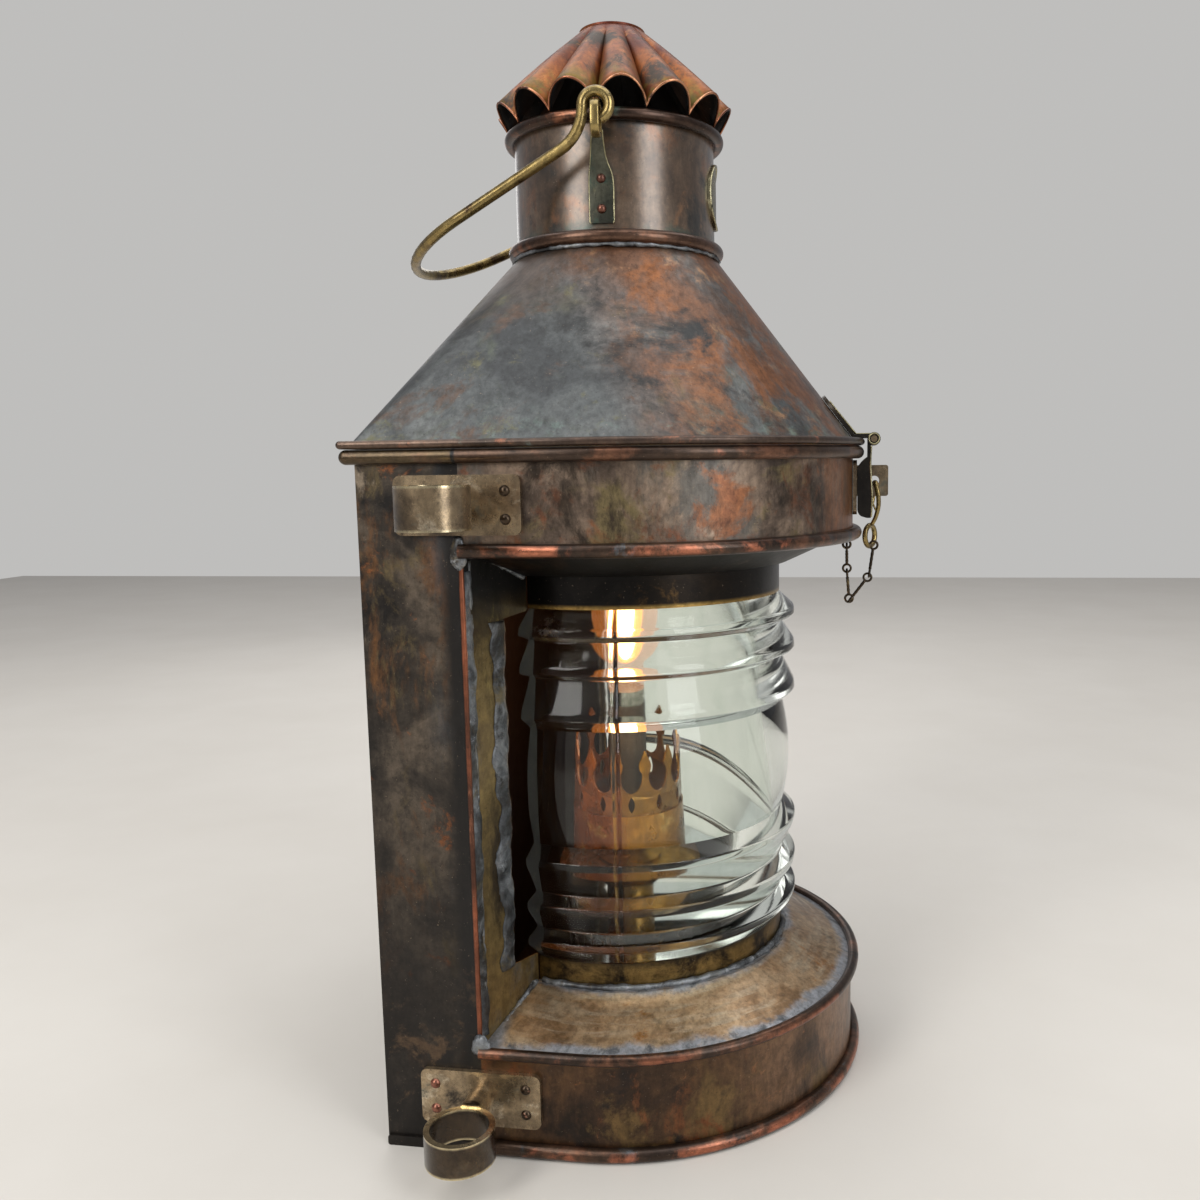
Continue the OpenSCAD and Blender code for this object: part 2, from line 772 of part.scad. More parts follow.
module eave_rim() {
    r = case_r + eave_out;
    back = case_back + eave_out;
    color("#6a4636") {
        front_bead(eave_bead_d, eave_out, eave_z, back);
        translate([-back, 0, eave_z]) rotate([90, 0, 0]) cylinder(d = eave_bead_d, h = 2 * r, center = true);
        for (side = [-1, 1]) translate([-back, side * r, eave_z]) sphere(d = eave_bead_d);
    }
}

module neck() {
    color("#5a4a44") translate([0, 0, neck_bottom]) difference() {
        cylinder(r = neck_r, h = neck_rim_z - neck_bottom);
        translate([0, 0, -1]) cylinder(r = neck_r - sheet, h = big);
    }
}

module neck_bead() {
    color("#6a4a3a") difference() {
        translate([0, 0, neck_bead_z]) rotate_extrude() translate([neck_r + 1.4, 0]) circle(d = neck_bead_d);
        cylinder(r = neck_r + fit, h = big);
    }
}

// Rolled rim on a short flange round the top of the neck
module neck_rim() {
    flange = 2.4;
    color("#5a4036") translate([0, 0, neck_rim_z]) difference() {
        rotate_extrude() {
            translate([neck_rim_r, 0]) circle(d = neck_rim_d);
            translate([neck_r + fit, -flange]) square([neck_rim_r - neck_r, flange]);
        }
        translate([0, 0, fit - big]) cylinder(r = neck_r + fit, h = big);
    }
}

// Fluted cap: a sheet cone that swells into rounded flutes towards its rim
cap_steps = 8;
cap_rows = 5;
cap_turns = cap_flutes * cap_steps;
cap_run = neck_rim_r - crown_r;

function flute(i) = pow(abs(cos(180 * i / cap_steps)), 0.7);

function cap_point(i, j, drop) = let(s = j / cap_rows, swell = s * flute(i),
    r = crown_r + cap_run * s + flute_out * swell, a = flute_turn + 360 * i / cap_turns)
    [r * cos(a), r * sin(a), cap_z + cap_h * (1 - s) + flute_rise * swell - drop];

function cap_id(i, j, k) = (k * (cap_rows + 1) + j) * cap_turns + i % cap_turns;

module cap() {
    points = [for (k = [0, 1], j = [0:cap_rows], i = [0:cap_turns - 1]) cap_point(i, j, k * cap_drop)];
    outer = [for (j = [0:cap_rows - 1], i = [0:cap_turns - 1])
        each [[cap_id(i, j, 0), cap_id(i + 1, j, 0), cap_id(i + 1, j + 1, 0)],
            [cap_id(i, j, 0), cap_id(i + 1, j + 1, 0), cap_id(i, j + 1, 0)]]];
    inner = [for (j = [0:cap_rows - 1], i = [0:cap_turns - 1])
        each [[cap_id(i, j, 1), cap_id(i + 1, j + 1, 1), cap_id(i + 1, j, 1)],
            [cap_id(i, j, 1), cap_id(i, j + 1, 1), cap_id(i + 1, j + 1, 1)]]];
    top = [for (i = [0:cap_turns - 1]) each [[cap_id(i, 0, 1), cap_id(i + 1, 0, 1), cap_id(i + 1, 0, 0)],
        [cap_id(i, 0, 1), cap_id(i + 1, 0, 0), cap_id(i, 0, 0)]]];
    rim = [for (i = [0:cap_turns - 1]) each [[cap_id(i, cap_rows, 0), cap_id(i + 1, cap_rows, 0),
        cap_id(i + 1, cap_rows, 1)],
        [cap_id(i, cap_rows, 0), cap_id(i + 1, cap_rows, 1), cap_id(i, cap_rows, 1)]]];
    color("#9a5233") polyhedron(points, concat(outer, inner, top, rim));
}

module cap_crown() {
    color("#8a4229") translate([0, 0, cap_z + cap_h + fit]) cylinder(r = crown_r, h = 1.2);
}

// Baffle under the cap that keeps rain and wind off the flame
module vent_baffle() {
    baffle_gap = 15;
    baffle_h = 9;
    baffle_top_r = 8;
    baffle_drop = 16;
    baffle_r = neck_r - baffle_gap;
    z = neck_rim_z - baffle_drop;
    tab = neck_r - sheet - fit;
    color("#3c302a") translate([0, 0, z]) {
        cylinder(r1 = baffle_r, r2 = baffle_top_r, h = baffle_h);
        translate([0, 0, -2]) cylinder(r = baffle_r, h = 2);
        for (i = [0:2]) rotate([0, 0, 120 * i]) translate([baffle_r - 4, -4, -2])
            cube([tab - baffle_r + 3.5, 8, 2]);
    }
}

// Bail and its ears. The bail's local frame: X runs along the pivot axis and Y points back.
bail_r = bail_d / 2;
bail_z = neck_rim_z;
ear_eye_d = 4;
ear_eye_r = bail_r + ear_eye_d / 2 + 0.5;
ear_bar_z = bail_z + bail_eye_r - bail_r - rest_gap - ear_eye_d / 2;
ear_w = 14;
ear_bottom = neck_bead_z + neck_bead_d / 2 + 3;
ear_top = neck_rim_z - 27;
ear_rivet_low = 8;
ear_rivet_high = 25;

// Turn from the bail's local frame to the lantern's, for the eye on one side
module neck_side(side) {
    rotate([0, 0, neck_turn + side * 90]) children();
}

// Ear: a strap round the neck that runs up into an upright wire eye
module bail_ear(side) {
    strap = 2;
    half = asin(ear_w / 2 / neck_r);
    eye_low = bail_z - bail_eye_r - bail_r - rest_gap - ear_eye_d / 2 + ear_eye_r - 3;
    color("#55563f") neck_side(side) {
        translate([0, 0, ear_bottom]) rotate([0, 0, -half]) rotate_extrude(angle = 2 * half)
            translate([neck_r + fit, 0]) square([strap, ear_top - ear_bottom]);
        translate([bail_eye_y, 0, ear_bar_z - ear_eye_r]) rotate([0, -90, 0]) rotate([90, 0, 0])
            mirror([0, 1, 0]) link(ear_bar_z - ear_eye_r - eye_low, ear_eye_r, ear_eye_d);
        hull() {
            translate([neck_r + fit + strap / 2, 0, ear_top - 2])
                cube([strap - 0.2, ear_w * 0.6, 4], center = true);
            translate([bail_eye_y - ear_eye_r, 0, eye_low]) cube([strap, 4, 4], center = true);
        }
    }
}

module bail_ear_left() {
    bail_ear(-1);
}

module bail_ear_right() {
    bail_ear(1);
}

module ear_rivets() {
    for (side = [-1, 1], z = [ear_bottom + ear_rivet_low, ear_bottom + ear_rivet_high])
        color("#9a5f48") neck_side(side)
            translate([neck_r + 2 + 2 * fit, 0, z]) rotate([0, 90, 0]) rivet(2.7, 1.8, 0.5, 0.1);
}

// Bare round plate on the front of the neck
module badge_plate() {
    badge_r = 20;
    color("#a39257") rotate([0, 0, neck_turn]) intersection() {
        translate([0, 0, neck_bead_z]) difference() {
            cylinder(r = neck_r + fit + 1.2, h = big);
            cylinder(r = neck_r + fit, h = big);
        }
        translate([0, 0, (neck_bead_z + neck_rim_z) / 2]) rotate([0, 90, 0])
            cylinder(r = badge_r, h = 2 * neck_r);
    }
}

// Path of the bail rod: eye, drop, bend, leg and bow.
// Each row holds a point, a direction and a side direction.
drop_l = 0.5;
bend_r = 24;
eye_sweep = 250;
bend_sweep = acos(cos(bail_lean) * sin(bail_slope));
bend_turn = atan2(sin(bail_lean), cos(bail_lean) * cos(bail_slope));
bend_run = bend_r * (1 - cos(bend_sweep));
leg_x = bail_eye_y - bend_run * sin(bend_turn);
leg_start = [bail_eye_r + bend_run * cos(bend_turn), -drop_l - bend_r * sin(bend_sweep)];
leg_t = leg_start * [cos(bail_slope), -sin(bail_slope)];
leg_off = leg_start * [sin(bail_slope), cos(bail_slope)];
bow_r = (cos(bail_lean) * leg_x + sin(bail_lean) * (leg_t - bail_reach)) / (1 - sin(bail_lean));
bow_t = bail_reach - bow_r;
rod_sides = 20;

function rod_eye(n) = [for (i = [0:n]) let(a = eye_sweep * (1 - i / n))
    [[bail_eye_y, bail_eye_r * cos(a), bail_eye_r * sin(a)], [0, sin(a), -cos(a)], [1, 0, 0]]];

function rod_bend(n) = [for (i = [0:n]) let(a = bend_sweep * i / n, run = bend_r * (1 - cos(a)),
    c = cos(bend_turn), s = sin(bend_turn))
    [[bail_eye_y - run * s, bail_eye_r + run * c, -drop_l - bend_r * sin(a)],
        [-sin(a) * s, sin(a) * c, -cos(a)], [c, s, 0]]];

function rod_bow(n) = [for (i = [0:n]) let(a = bail_lean + (180 - 2 * bail_lean) * i / n,
    t = bow_t + bow_r * sin(a), c = cos(bail_slope), s = sin(bail_slope))
    [[bow_r * cos(a), t * c + leg_off * s, leg_off * c - t * s],
        [-sin(a), cos(a) * c, -cos(a) * s], [cos(a), sin(a) * c, -sin(a) * s]]];

// The other half of a path, mirrored and walked the other way
function mirrored(rows) = [for (i = [len(rows) - 1:-1:0]) let(p = rows[i][0], t = rows[i][1], o = rows[i][2])
    [[-p.x, p.y, p.z], [t.x, -t.y, -t.z], [-o.x, o.y, o.z]]];

module bail() {
    half = concat(rod_eye(24), rod_bend(8));
    rows = concat(half, rod_bow(20), mirrored(half));
    n = rod_sides;
    last = len(rows) - 1;
    points = [for (row = rows, k = [0:n - 1]) let(a = 360 * k / n)
        row[0] + bail_r * (cos(a) * row[2] + sin(a) * cross(row[1], row[2]))];
    sides = [for (j = [0:last - 1], k = [0:n - 1]) let(m = (k + 1) % n)
        each [[j * n + k, (j + 1) * n + k, (j + 1) * n + m], [j * n + k, (j + 1) * n + m, j * n + m]]];
    ends = [[for (k = [0:n - 1]) k], [for (k = [n - 1:-1:0]) last * n + k]];
    color("#8a7a4c") translate([0, 0, bail_z]) rotate([0, 0, neck_turn + 90])
        polyhedron(points, concat(sides, ends));
}

back_case();
upper_band();
base_drum();
base_plate();
lower_ledge();
upper_ledge();
seat_bead_front();
seat_bead_left();
seat_bead_right();
band_bead();
ledge_bead();
base_bead();
side_hems();
seat_rail_back();
lens();
lens_collar_upper();
lens_collar_lower();
jamb_left();
jamb_right();
bracket_upper_left();
bracket_upper_right();
bracket_lower_left();
bracket_lower_right();
bracket_rivets();
hinge_leaf_case();
hinge_pin();
hasp_staple();
staple_hook();
safety_chain();
chain_eye();
oil_font();
burner_foot();
burner_cup();
burner_gallery();
lamp_holder();
bulb_cap();
bulb_glass();
roof();
eave_rim();
neck();
neck_bead();
neck_rim();
cap();
cap_crown();
vent_baffle();
bail_ear_left();
bail_ear_right();
ear_rivets();
badge_plate();
hinge_leaf_lid();
hasp_roof_strap();
hasp_pin();
hasp();
bail();
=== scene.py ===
"""Masthead lantern: finishes, light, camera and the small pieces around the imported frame."""
import math
import random

import bmesh
import bpy
from mathutils import Matrix, Vector


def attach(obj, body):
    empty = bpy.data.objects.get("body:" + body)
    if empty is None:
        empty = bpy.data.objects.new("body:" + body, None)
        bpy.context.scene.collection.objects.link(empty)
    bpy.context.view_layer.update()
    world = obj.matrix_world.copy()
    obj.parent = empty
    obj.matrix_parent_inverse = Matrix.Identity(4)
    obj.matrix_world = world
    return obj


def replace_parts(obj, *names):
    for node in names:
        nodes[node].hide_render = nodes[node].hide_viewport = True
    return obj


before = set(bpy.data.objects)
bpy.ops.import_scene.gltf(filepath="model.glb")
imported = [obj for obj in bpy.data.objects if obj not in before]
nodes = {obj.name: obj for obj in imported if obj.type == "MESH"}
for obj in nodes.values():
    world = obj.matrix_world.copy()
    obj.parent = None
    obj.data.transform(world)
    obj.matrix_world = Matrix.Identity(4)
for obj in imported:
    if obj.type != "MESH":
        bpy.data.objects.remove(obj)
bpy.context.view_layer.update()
dice = random.Random(7)

# Sizes of the lantern in millimetres, as the solids have them
MM = 0.001
CASE_R = 150.0
SEAM_X = 56.0
DRUM_TOP = 60.5
BAND_BOTTOM = 344.0
LEDGE_RISE = 18.0
LENS_MID = 199.95
LENS_HALF = 106.3
COLLAR_IN_R = 101.2
COLLAR_R = 102.7
JAMB_ANGLE = math.degrees(math.atan2(CASE_R, -SEAM_X - 1.4))
JAMB_SHEET = 1.2
BULB_Z = 258.0
NECK_R = 62.5
NECK_BEAD_Z = 520.8
NECK_RIM_Z = 588.6
NECK_RIM_R = 65.3
NECK_TURN = 5.0
HOOD_TOP = 515.55
CAP_Z = 593.8
CAP_H = 60.5
GALLERY_Z = 166.1
BURNER_R = 36.4
PLATE_OUT = 165.5

AHEAD = Vector((1, 0, 0))
SIDEWAYS = Vector((0, 1, 0))
UPWARD = Vector((0, 0, 1))

# A pattern that is not stretched along any axis
EVEN = (1, 1, 1)


# Shader kit
class Value:
    """A shader socket that takes part in plain arithmetic."""

    def __init__(self, kit, socket):
        self.kit = kit
        self.socket = socket

    def _math(self, operation, a, b):
        return self.kit.node("ShaderNodeMath", {"operation": operation}, {0: a, 1: b})

    def __add__(self, other):
        return self._math("ADD", self, other)

    def __radd__(self, other):
        return self._math("ADD", other, self)

    def __sub__(self, other):
        return self._math("SUBTRACT", self, other)

    def __rsub__(self, other):
        return self._math("SUBTRACT", other, self)

    def __mul__(self, other):
        return self._math("MULTIPLY", self, other)

    def __rmul__(self, other):
        return self._math("MULTIPLY", other, self)

    def __pow__(self, other):
        return self._math("POWER", self, other)


def rgb(code):
    """Linear colour from a hex code."""
    channels = [int(code[i:i + 2], 16) / 255 for i in (1, 3, 5)]
    return tuple(c / 12.92 if c <= 0.04045 else ((c + 0.055) / 1.055) ** 2.4 for c in channels) + (1.0,)


class Kit:
    """A node tree with one way to add a node."""

    def __init__(self, tree):
        self.tree = tree

    def plug(self, socket, value):
        if isinstance(value, Value):
            self.tree.links.new(value.socket, socket)
        else:
            socket.default_value = value

    def node(self, kind, settings, sockets, out=0):
        node = self.tree.nodes.new(kind)
        for key, value in settings.items():
            if key == "stops":
                ramp = node.color_ramp
                while len(ramp.elements) < len(value):
                    ramp.elements.new(0.5)
                for element, (place, colour) in zip(ramp.elements, value):
                    element.position = place
                    element.color = colour
            else:
                setattr(node, key, value)
        by_id = {s.identifier: s for s in node.inputs}
        for key, value in sockets.items():
            self.plug(by_id[key] if key in by_id else node.inputs[key], value)
        outs = {s.identifier: s for s in node.outputs}
        return Value(self, outs[out] if out in outs else node.outputs[out])

    def mix(self, factor, a, b):
        return self.node("ShaderNodeMix", {"data_type": "RGBA"}, {
            "Factor_Float": factor, "A_Color": a, "B_Color": b}, "Result_Color")

    def most(self, a, b):
        return self.node("ShaderNodeMath", {"operation": "MAXIMUM"}, {0: a, 1: b})


class Finish(Kit):
    """One material and the few node recipes that the lantern's finishes share."""

    def __init__(self, name):
        self.material = bpy.data.materials.new(name)
        self.material.use_nodes = True
        super().__init__(self.material.node_tree)
        self.shader = self.tree.nodes["Principled BSDF"]
        self.at = self.node("ShaderNodeTexCoord", {}, {}, "Object")
        self.x, self.y, self.z = [self.node("ShaderNodeSeparateXYZ", {}, {0: self.at}, i) for i in range(3)]

    def noise(self, scale, detail=6.0, rough=0.6, warp=0.0, stretch=EVEN):
        shift = dice.uniform(0, 9)
        at = self.node("ShaderNodeVectorMath", {"operation": "MULTIPLY_ADD"}, {
            0: self.at, 1: stretch, 2: (shift, shift * 0.7, shift * 1.3)})
        return self.node("ShaderNodeTexNoise", {}, {
            "Vector": at, "Scale": scale, "Detail": detail, "Roughness": rough, "Distortion": warp}, "Fac")

    def mask(self, value, low, high):
        return self.node("ShaderNodeMapRange", {"interpolation_type": "SMOOTHSTEP"}, {
            "Value": value, "From Min": low, "From Max": high})

    def size(self, value):
        return self.node("ShaderNodeMath", {"operation": "ABSOLUTE"}, {0: value})

    def shade(self, colour, amount):
        return self.node("ShaderNodeVectorMath", {"operation": "SCALE"}, {0: colour, "Scale": amount})

    def bump(self, height, strength, depth):
        return self.node("ShaderNodeBump", {}, {
            "Strength": strength, "Distance": depth, "Height": height}, "Normal")

    def radius(self):
        """Distance from the lens axis."""
        square = self.x * self.x + self.y * self.y
        return square ** 0.5

    def wall(self):
        """How far a point stands outside the case wall, in metres."""
        ahead = self.mask(self.x, -MM, MM)
        return self.radius() * ahead + self.size(self.y) * (1 - ahead) - CASE_R * MM

    def paint(self, **sockets):
        names = {"colour": "Base Color", "rough": "Roughness", "metal": "Metallic", "normal": "Normal",
                 "glow": "Emission Color", "glow_strength": "Emission Strength",
                 "clear": "Transmission Weight", "ior": "IOR", "alpha": "Alpha",
                 "coat": "Coat Weight", "coat_rough": "Coat Roughness"}
        for key, value in sockets.items():
            self.plug(self.shader.inputs[names[key]], value)
        return self.material


def aged(name, ground, layers, rough=0.42, metal=0.7, grain=0.3, dents=0.3, brush=(1, 1, 0.25), blotch=11,
         coat=0.15):
    """Old sheet metal: a mottled ground, then patches of other colours laid over it.

    Each layer holds a colour, a noise scale, the noise values between which it fades in, a roughness, a
    metal share, a stretch of its pattern and, if it keeps to one place, a function that gives the place."""
    f = Finish(name)
    colour = f.node("ShaderNodeValToRGB", {"stops": [
        (0.36 + 0.28 * i / (len(ground) - 1), rgb(c)) for i, c in enumerate(ground)]},
        {0: f.noise(blotch, 7, 0.64, 0.5)}, "Color")
    rough_value = rough + 0.2 * (f.noise(60, 5, 0.65) - 0.5)
    metal_value = metal
    for layer in layers:
        tint, scale, low, high = layer[:4]
        layer_rough, layer_metal = layer[4:6]
        stretch = layer[6] if len(layer) > 6 else EVEN
        cover = f.mask(f.noise(scale, 10, 0.7, 0.4, stretch), low, high)
        if len(layer) > 7:
            cover = cover * layer[7](f)
        colour = f.mix(cover, colour, rgb(tint))
        rough_value = rough_value + cover * (layer_rough - rough)
        metal_value = metal_value + cover * (layer_metal - metal)
    fine = f.mask(f.noise(170, 8, 0.72, 0.3), 0.34, 0.66)
    drawn = f.mask(f.noise(330, 4, 0.65, 0.2, brush), 0.32, 0.68)
    colour = f.shade(colour, 0.62 + 0.46 * fine + 0.30 * drawn)
    speckle = f.mask(f.noise(520, 4, 0.7), 0.60, 0.70)
    colour = f.mix(speckle * 0.5, colour, rgb("#17110e"))
    glint = f.mask(f.noise(640, 3, 0.7), 0.66, 0.74)
    colour = f.mix(glint * 0.35, colour, rgb("#b09a82"))
    height = f.noise(26, 3, 0.5) * dents + fine * grain * 0.05 + drawn * grain * 0.03
    return f.paint(colour=colour, rough=rough_value, metal=metal_value, normal=f.bump(height, 0.3, 0.004),
                   coat=coat, coat_rough=0.24)


# Places that a layer can keep to, in millimetres
def above(low, high):
    return lambda f: f.mask(f.z, low * MM, high * MM)


def below(low, high):
    return lambda f: 1 - f.mask(f.z, low * MM, high * MM)


def ahead_of(low, high):
    return lambda f: f.mask(f.x, low * MM, high * MM)


def behind(low, high):
    return lambda f: 1 - f.mask(f.x, low * MM, high * MM)


def outward(low, high):
    """The outermost part of a bead, by its distance from the wall."""
    return lambda f: f.mask(f.wall(), low * MM, high * MM)


def near_level(level, reach):
    """A band of heights, strongest in its middle."""
    return lambda f: 1 - f.mask(f.size(f.z - level * MM), 0.0, reach * MM)


def near_point(place, reach):
    def cover(f):
        away = f.node("ShaderNodeVectorMath", {"operation": "DISTANCE"}, {
            0: f.at, 1: tuple(v * MM for v in place)}, "Value")
        return 1 - f.mask(away, 0.0, reach * MM)
    return cover


def hood_front(f):
    """The front of the hood, and more of it near the top."""
    lean = 0.6
    return f.mask(f.x + f.z * lean, 268 * MM, 345 * MM)


def case_inside(f):
    """The inner faces of the case's sheet, which the panel's finish paints near-black as shade."""
    side = 1 - f.mask(f.wall(), -1.2 * MM, -0.6 * MM)
    return side * ahead_of(-112.8, -112.3)(f)


def solder_edge(f):
    """Solder along the ledge's outer edge and round the lens."""
    wobble = (f.noise(34, 5, 0.65) - 0.5) * (20 * MM)
    outer = f.mask(f.wall() + wobble, -10 * MM, -5 * MM)
    inner = 1 - f.mask(f.radius() + wobble, 106 * MM, 113 * MM)
    jamb = 1 - f.mask(f.x + wobble * 0.6, -50 * MM, -42 * MM)
    return f.most(f.most(outer, inner), jamb)


def socket_rings(f):
    """All that stands further out than the brackets' plates."""
    return f.mask(f.size(f.y), PLATE_OUT * MM, (PLATE_OUT + 1.5) * MM)


def ring_rim_highlight(f):
    """The cut rims of the socket rings, which get a painted highlight."""
    out = socket_rings(f)
    rim = 0
    for level in (20.0, 38.0, 357.25, 379.75):
        rim = rim + near_level(level, 1.7)(f)
    return out * rim


def low_ring(f):
    """The lower socket rings."""
    return socket_rings(f) * below(60, 70)(f)


def front_rivets(f):
    """The brackets' rivets nearer the front."""
    return ahead_of(-50, -40)(f) * below(430, 440)(f)


def bead_joint(f):
    """Where two lengths of the seat moulding meet."""
    return 1 - f.mask(f.size(f.x + SEAM_X * MM), 0.5 * MM, 1.6 * MM)


def side_lengths(f):
    """The lengths of seat moulding along the two sides."""
    return behind(-56.6, -55.6)(f)


def streaks(f):
    """Bands round the lens, as a cloth leaves them."""
    round_way = f.node("ShaderNodeMath", {"operation": "ARCTAN2"}, {0: f.y, 1: f.x})
    at = f.node("ShaderNodeCombineXYZ", {}, {0: f.radius() * 110, 1: round_way * 1.6, 2: 0.0})
    drawn = f.node("ShaderNodeTexNoise", {}, {
        "Vector": at, "Scale": 1.6, "Detail": 6.0, "Roughness": 0.62, "Distortion": 0.3}, "Fac")
    return f.mask(drawn, 0.46, 0.62)


ROOF = aged("hood_patina", ["#343637", "#484b4b", "#585a59", "#696a67"], [
    ("#464b40", 13, 0.50, 0.64, 0.55, 0.4),
    ("#5c5a40", 34, 0.56, 0.68, 0.55, 0.4),
    ("#504036", 17, 0.52, 0.62, 0.45, 0.7),
    ("#46372c", 12, 0.42, 0.56, 0.42, 0.7, EVEN, above(462, 505)),
    ("#684a38", 9, 0.40, 0.56, 0.36, 0.8, EVEN, hood_front),
    ("#7e5030", 15, 0.48, 0.60, 0.40, 0.75, EVEN, hood_front),
    ("#a27c5a", 40, 0.56, 0.70, 0.42, 0.75, EVEN, hood_front),
    ("#8a5636", 30, 0.60, 0.68, 0.42, 0.8, EVEN, above(490, 512)),
    ("#5f6f68", 36, 0.52, 0.68, 0.6, 0.3, EVEN, near_level(402, 24)),
    ("#252626", 14, 0.55, 0.68, 0.5, 0.5),
], rough=0.44, metal=0.6, dents=0.25)
NECK = aged("neck_bronze", ["#32271b", "#4e3c2c", "#62503f", "#523b27"], [
    ("#6e482c", 15, 0.50, 0.62, 0.34, 0.6),
    ("#7e5c40", 34, 0.58, 0.70, 0.32, 0.6),
    ("#36322c", 18, 0.54, 0.64, 0.36, 0.7),
    ("#3a463a", 44, 0.42, 0.60, 0.5, 0.5, EVEN, near_level(525, 9)),
    ("#33382c", 50, 0.40, 0.60, 0.5, 0.5, (1, 1, 0.5), near_point((6, -63, 555), 26)),
], rough=0.32, metal=0.5, grain=0.2, dents=0.12, coat=1.0)
CAP = aged("cap_copper", ["#5e2c0f", "#7c4218", "#8c5120", "#703815"], [
    ("#55200f", 22, 0.44, 0.58, 0.42, 0.7, EVEN, above(618, 640)),
    ("#6a5c20", 26, 0.46, 0.58, 0.5, 0.5, EVEN, below(600, 628)),
    ("#35271a", 40, 0.54, 0.64, 0.5, 0.5, (1, 1, 0.6)),
    ("#9c683c", 44, 0.58, 0.70, 0.34, 0.8),
], rough=0.42, metal=0.6, dents=0.15, blotch=20, coat=0.08)
# Near-black sheet under the cap: soot and painted shade under the flutes.
SOOT_AND_SHADE = aged("soot_and_painted_shade", ["#0c0907", "#15100d", "#201813"], [
    ("#3a2416", 40, 0.58, 0.70, 0.6, 0.3),
], rough=0.7, metal=0.1, coat=0.0)
BAND = aged("band_copper", ["#382e27", "#645549", "#8c7866", "#655446"], [
    ("#766848", 16, 0.50, 0.60, 0.42, 0.7),
    ("#5a554e", 20, 0.52, 0.66, 0.45, 0.6, (1, 1, 0.6)),
    ("#865638", 24, 0.56, 0.66, 0.38, 0.75),
    ("#6f4631", 34, 0.52, 0.64, 0.38, 0.8),
    ("#30261d", 28, 0.52, 0.66, 0.46, 0.65, (1, 1, 0.5)),
    ("#8c5c3a", 20, 0.36, 0.56, 0.36, 0.8, (1, 1, 0.3), ahead_of(112, 140)),
], rough=0.38, metal=0.7, blotch=16)
PANEL = aged("side_panel_copper", ["#1a1715", "#3b342d", "#5e5347", "#39322b"], [
    ("#684628", 20, 0.50, 0.62, 0.42, 0.7, (1, 1, 0.5)),
    ("#625438", 22, 0.54, 0.66, 0.45, 0.7, (1, 1, 0.6)),
    ("#8a5430", 46, 0.60, 0.70, 0.40, 0.8),
    ("#8a7c6a", 30, 0.62, 0.72, 0.40, 0.8, (1, 1, 0.4)),
    ("#15100e", 16, 0.52, 0.64, 0.46, 0.6, (1, 1, 0.5)),
    ("#3c4044", 20, 0.52, 0.66, 0.42, 0.6, (1, 1, 0.4), ahead_of(-84, -60)),
    ("#17120e", 10, 0.20, 0.54, 0.44, 0.6, (1, 1, 0.6), below(40, 300)),
    ("#120e0b", 20, 0.34, 0.52, 0.46, 0.6, (1, 1, 0.2), ahead_of(-72, -62)),
    ("#5c4630", 34, 0.54, 0.64, 0.46, 0.6, EVEN, below(0, 150)),
    # Painted shade on the inner faces of the case.
    ("#170e08", 18, 0.10, 0.20, 0.50, 0.5, (1, 1, 0.5), case_inside),
], rough=0.38, metal=0.7, blotch=16)
DRUM = aged("drum_copper", ["#21170f", "#3f2c1d", "#563d26", "#402c1d"], [
    ("#665030", 18, 0.54, 0.66, 0.42, 0.75),
    ("#6e4328", 24, 0.54, 0.64, 0.38, 0.8, (1, 1, 0.7)),
    ("#8e5c38", 60, 0.60, 0.70, 0.38, 0.8),
    ("#1a120e", 20, 0.53, 0.64, 0.46, 0.6, (1, 1, 0.6)),
    ("#7c5f48", 16, 0.36, 0.56, 0.36, 0.75, (1, 1, 0.5), ahead_of(70, 130)),
], rough=0.36, metal=0.7, blotch=16)


def bead_finish(name, low, high, worn, more=()):
    """Copper moulding, worn bright where it stands out most."""
    return aged(name, ["#2d231d", "#43342a", "#594334"], [
        ("#6e4c3a", 26, 0.48, 0.62, 0.34, 0.85),
        ("#4c5256", 30, 0.58, 0.68, 0.45, 0.6),
        ("#b87256", 24, worn, worn + 0.12, 0.28, 0.95, EVEN, outward(low, high)),
        ("#1f1814", 30, 0.58, 0.70, 0.46, 0.6),
        *more,
    ], rough=0.36, metal=0.8, dents=0.1, brush=(1, 1, 3))


BEAD = bead_finish("bead_copper", 3.6, 6.6, 0.46)
SEAT_BEAD = bead_finish("seat_bead_copper", 5.8, 8.4, 0.56, (
    ("#4c3f2c", 20, 0.30, 0.52, 0.32, 0.85, EVEN, side_lengths),
    ("#080605", 20, 0.10, 0.20, 0.5, 0.4, EVEN, bead_joint)))
EAVE = aged("eave_copper", ["#332c27", "#4b3c33", "#5e4c40"], [
    ("#8a5a44", 34, 0.54, 0.66, 0.34, 0.85),
    ("#62726c", 34, 0.58, 0.70, 0.55, 0.3),
], rough=0.38, metal=0.8, dents=0.1)
NECK_RIM = aged("neck_rim_copper", ["#33261f", "#4c382d", "#63493a"], [
    ("#84563e", 30, 0.52, 0.66, 0.30, 0.9),
    ("#3c4c40", 40, 0.58, 0.70, 0.5, 0.4),
], rough=0.30, metal=0.88, dents=0.06, brush=(1, 1, 3))
LEDGE = aged("ledge_bronze", ["#634a2e", "#8a6c4c", "#aa8f6e", "#8e6f4e"], [
    ("#5c482c", 20, 0.54, 0.74, 0.42, 0.7),
    ("#ab9a80", 20, 0.36, 0.66, 0.34, 0.65, EVEN, streaks),
    ("#94642f", 26, 0.58, 0.68, 0.36, 0.8),
    ("#8c8e92", 40, 0.22, 0.46, 0.40, 0.6, EVEN, solder_edge),
    ("#4c4f52", 60, 0.50, 0.64, 0.45, 0.6, EVEN, solder_edge),
], rough=0.32, metal=0.75, coat=0.3)
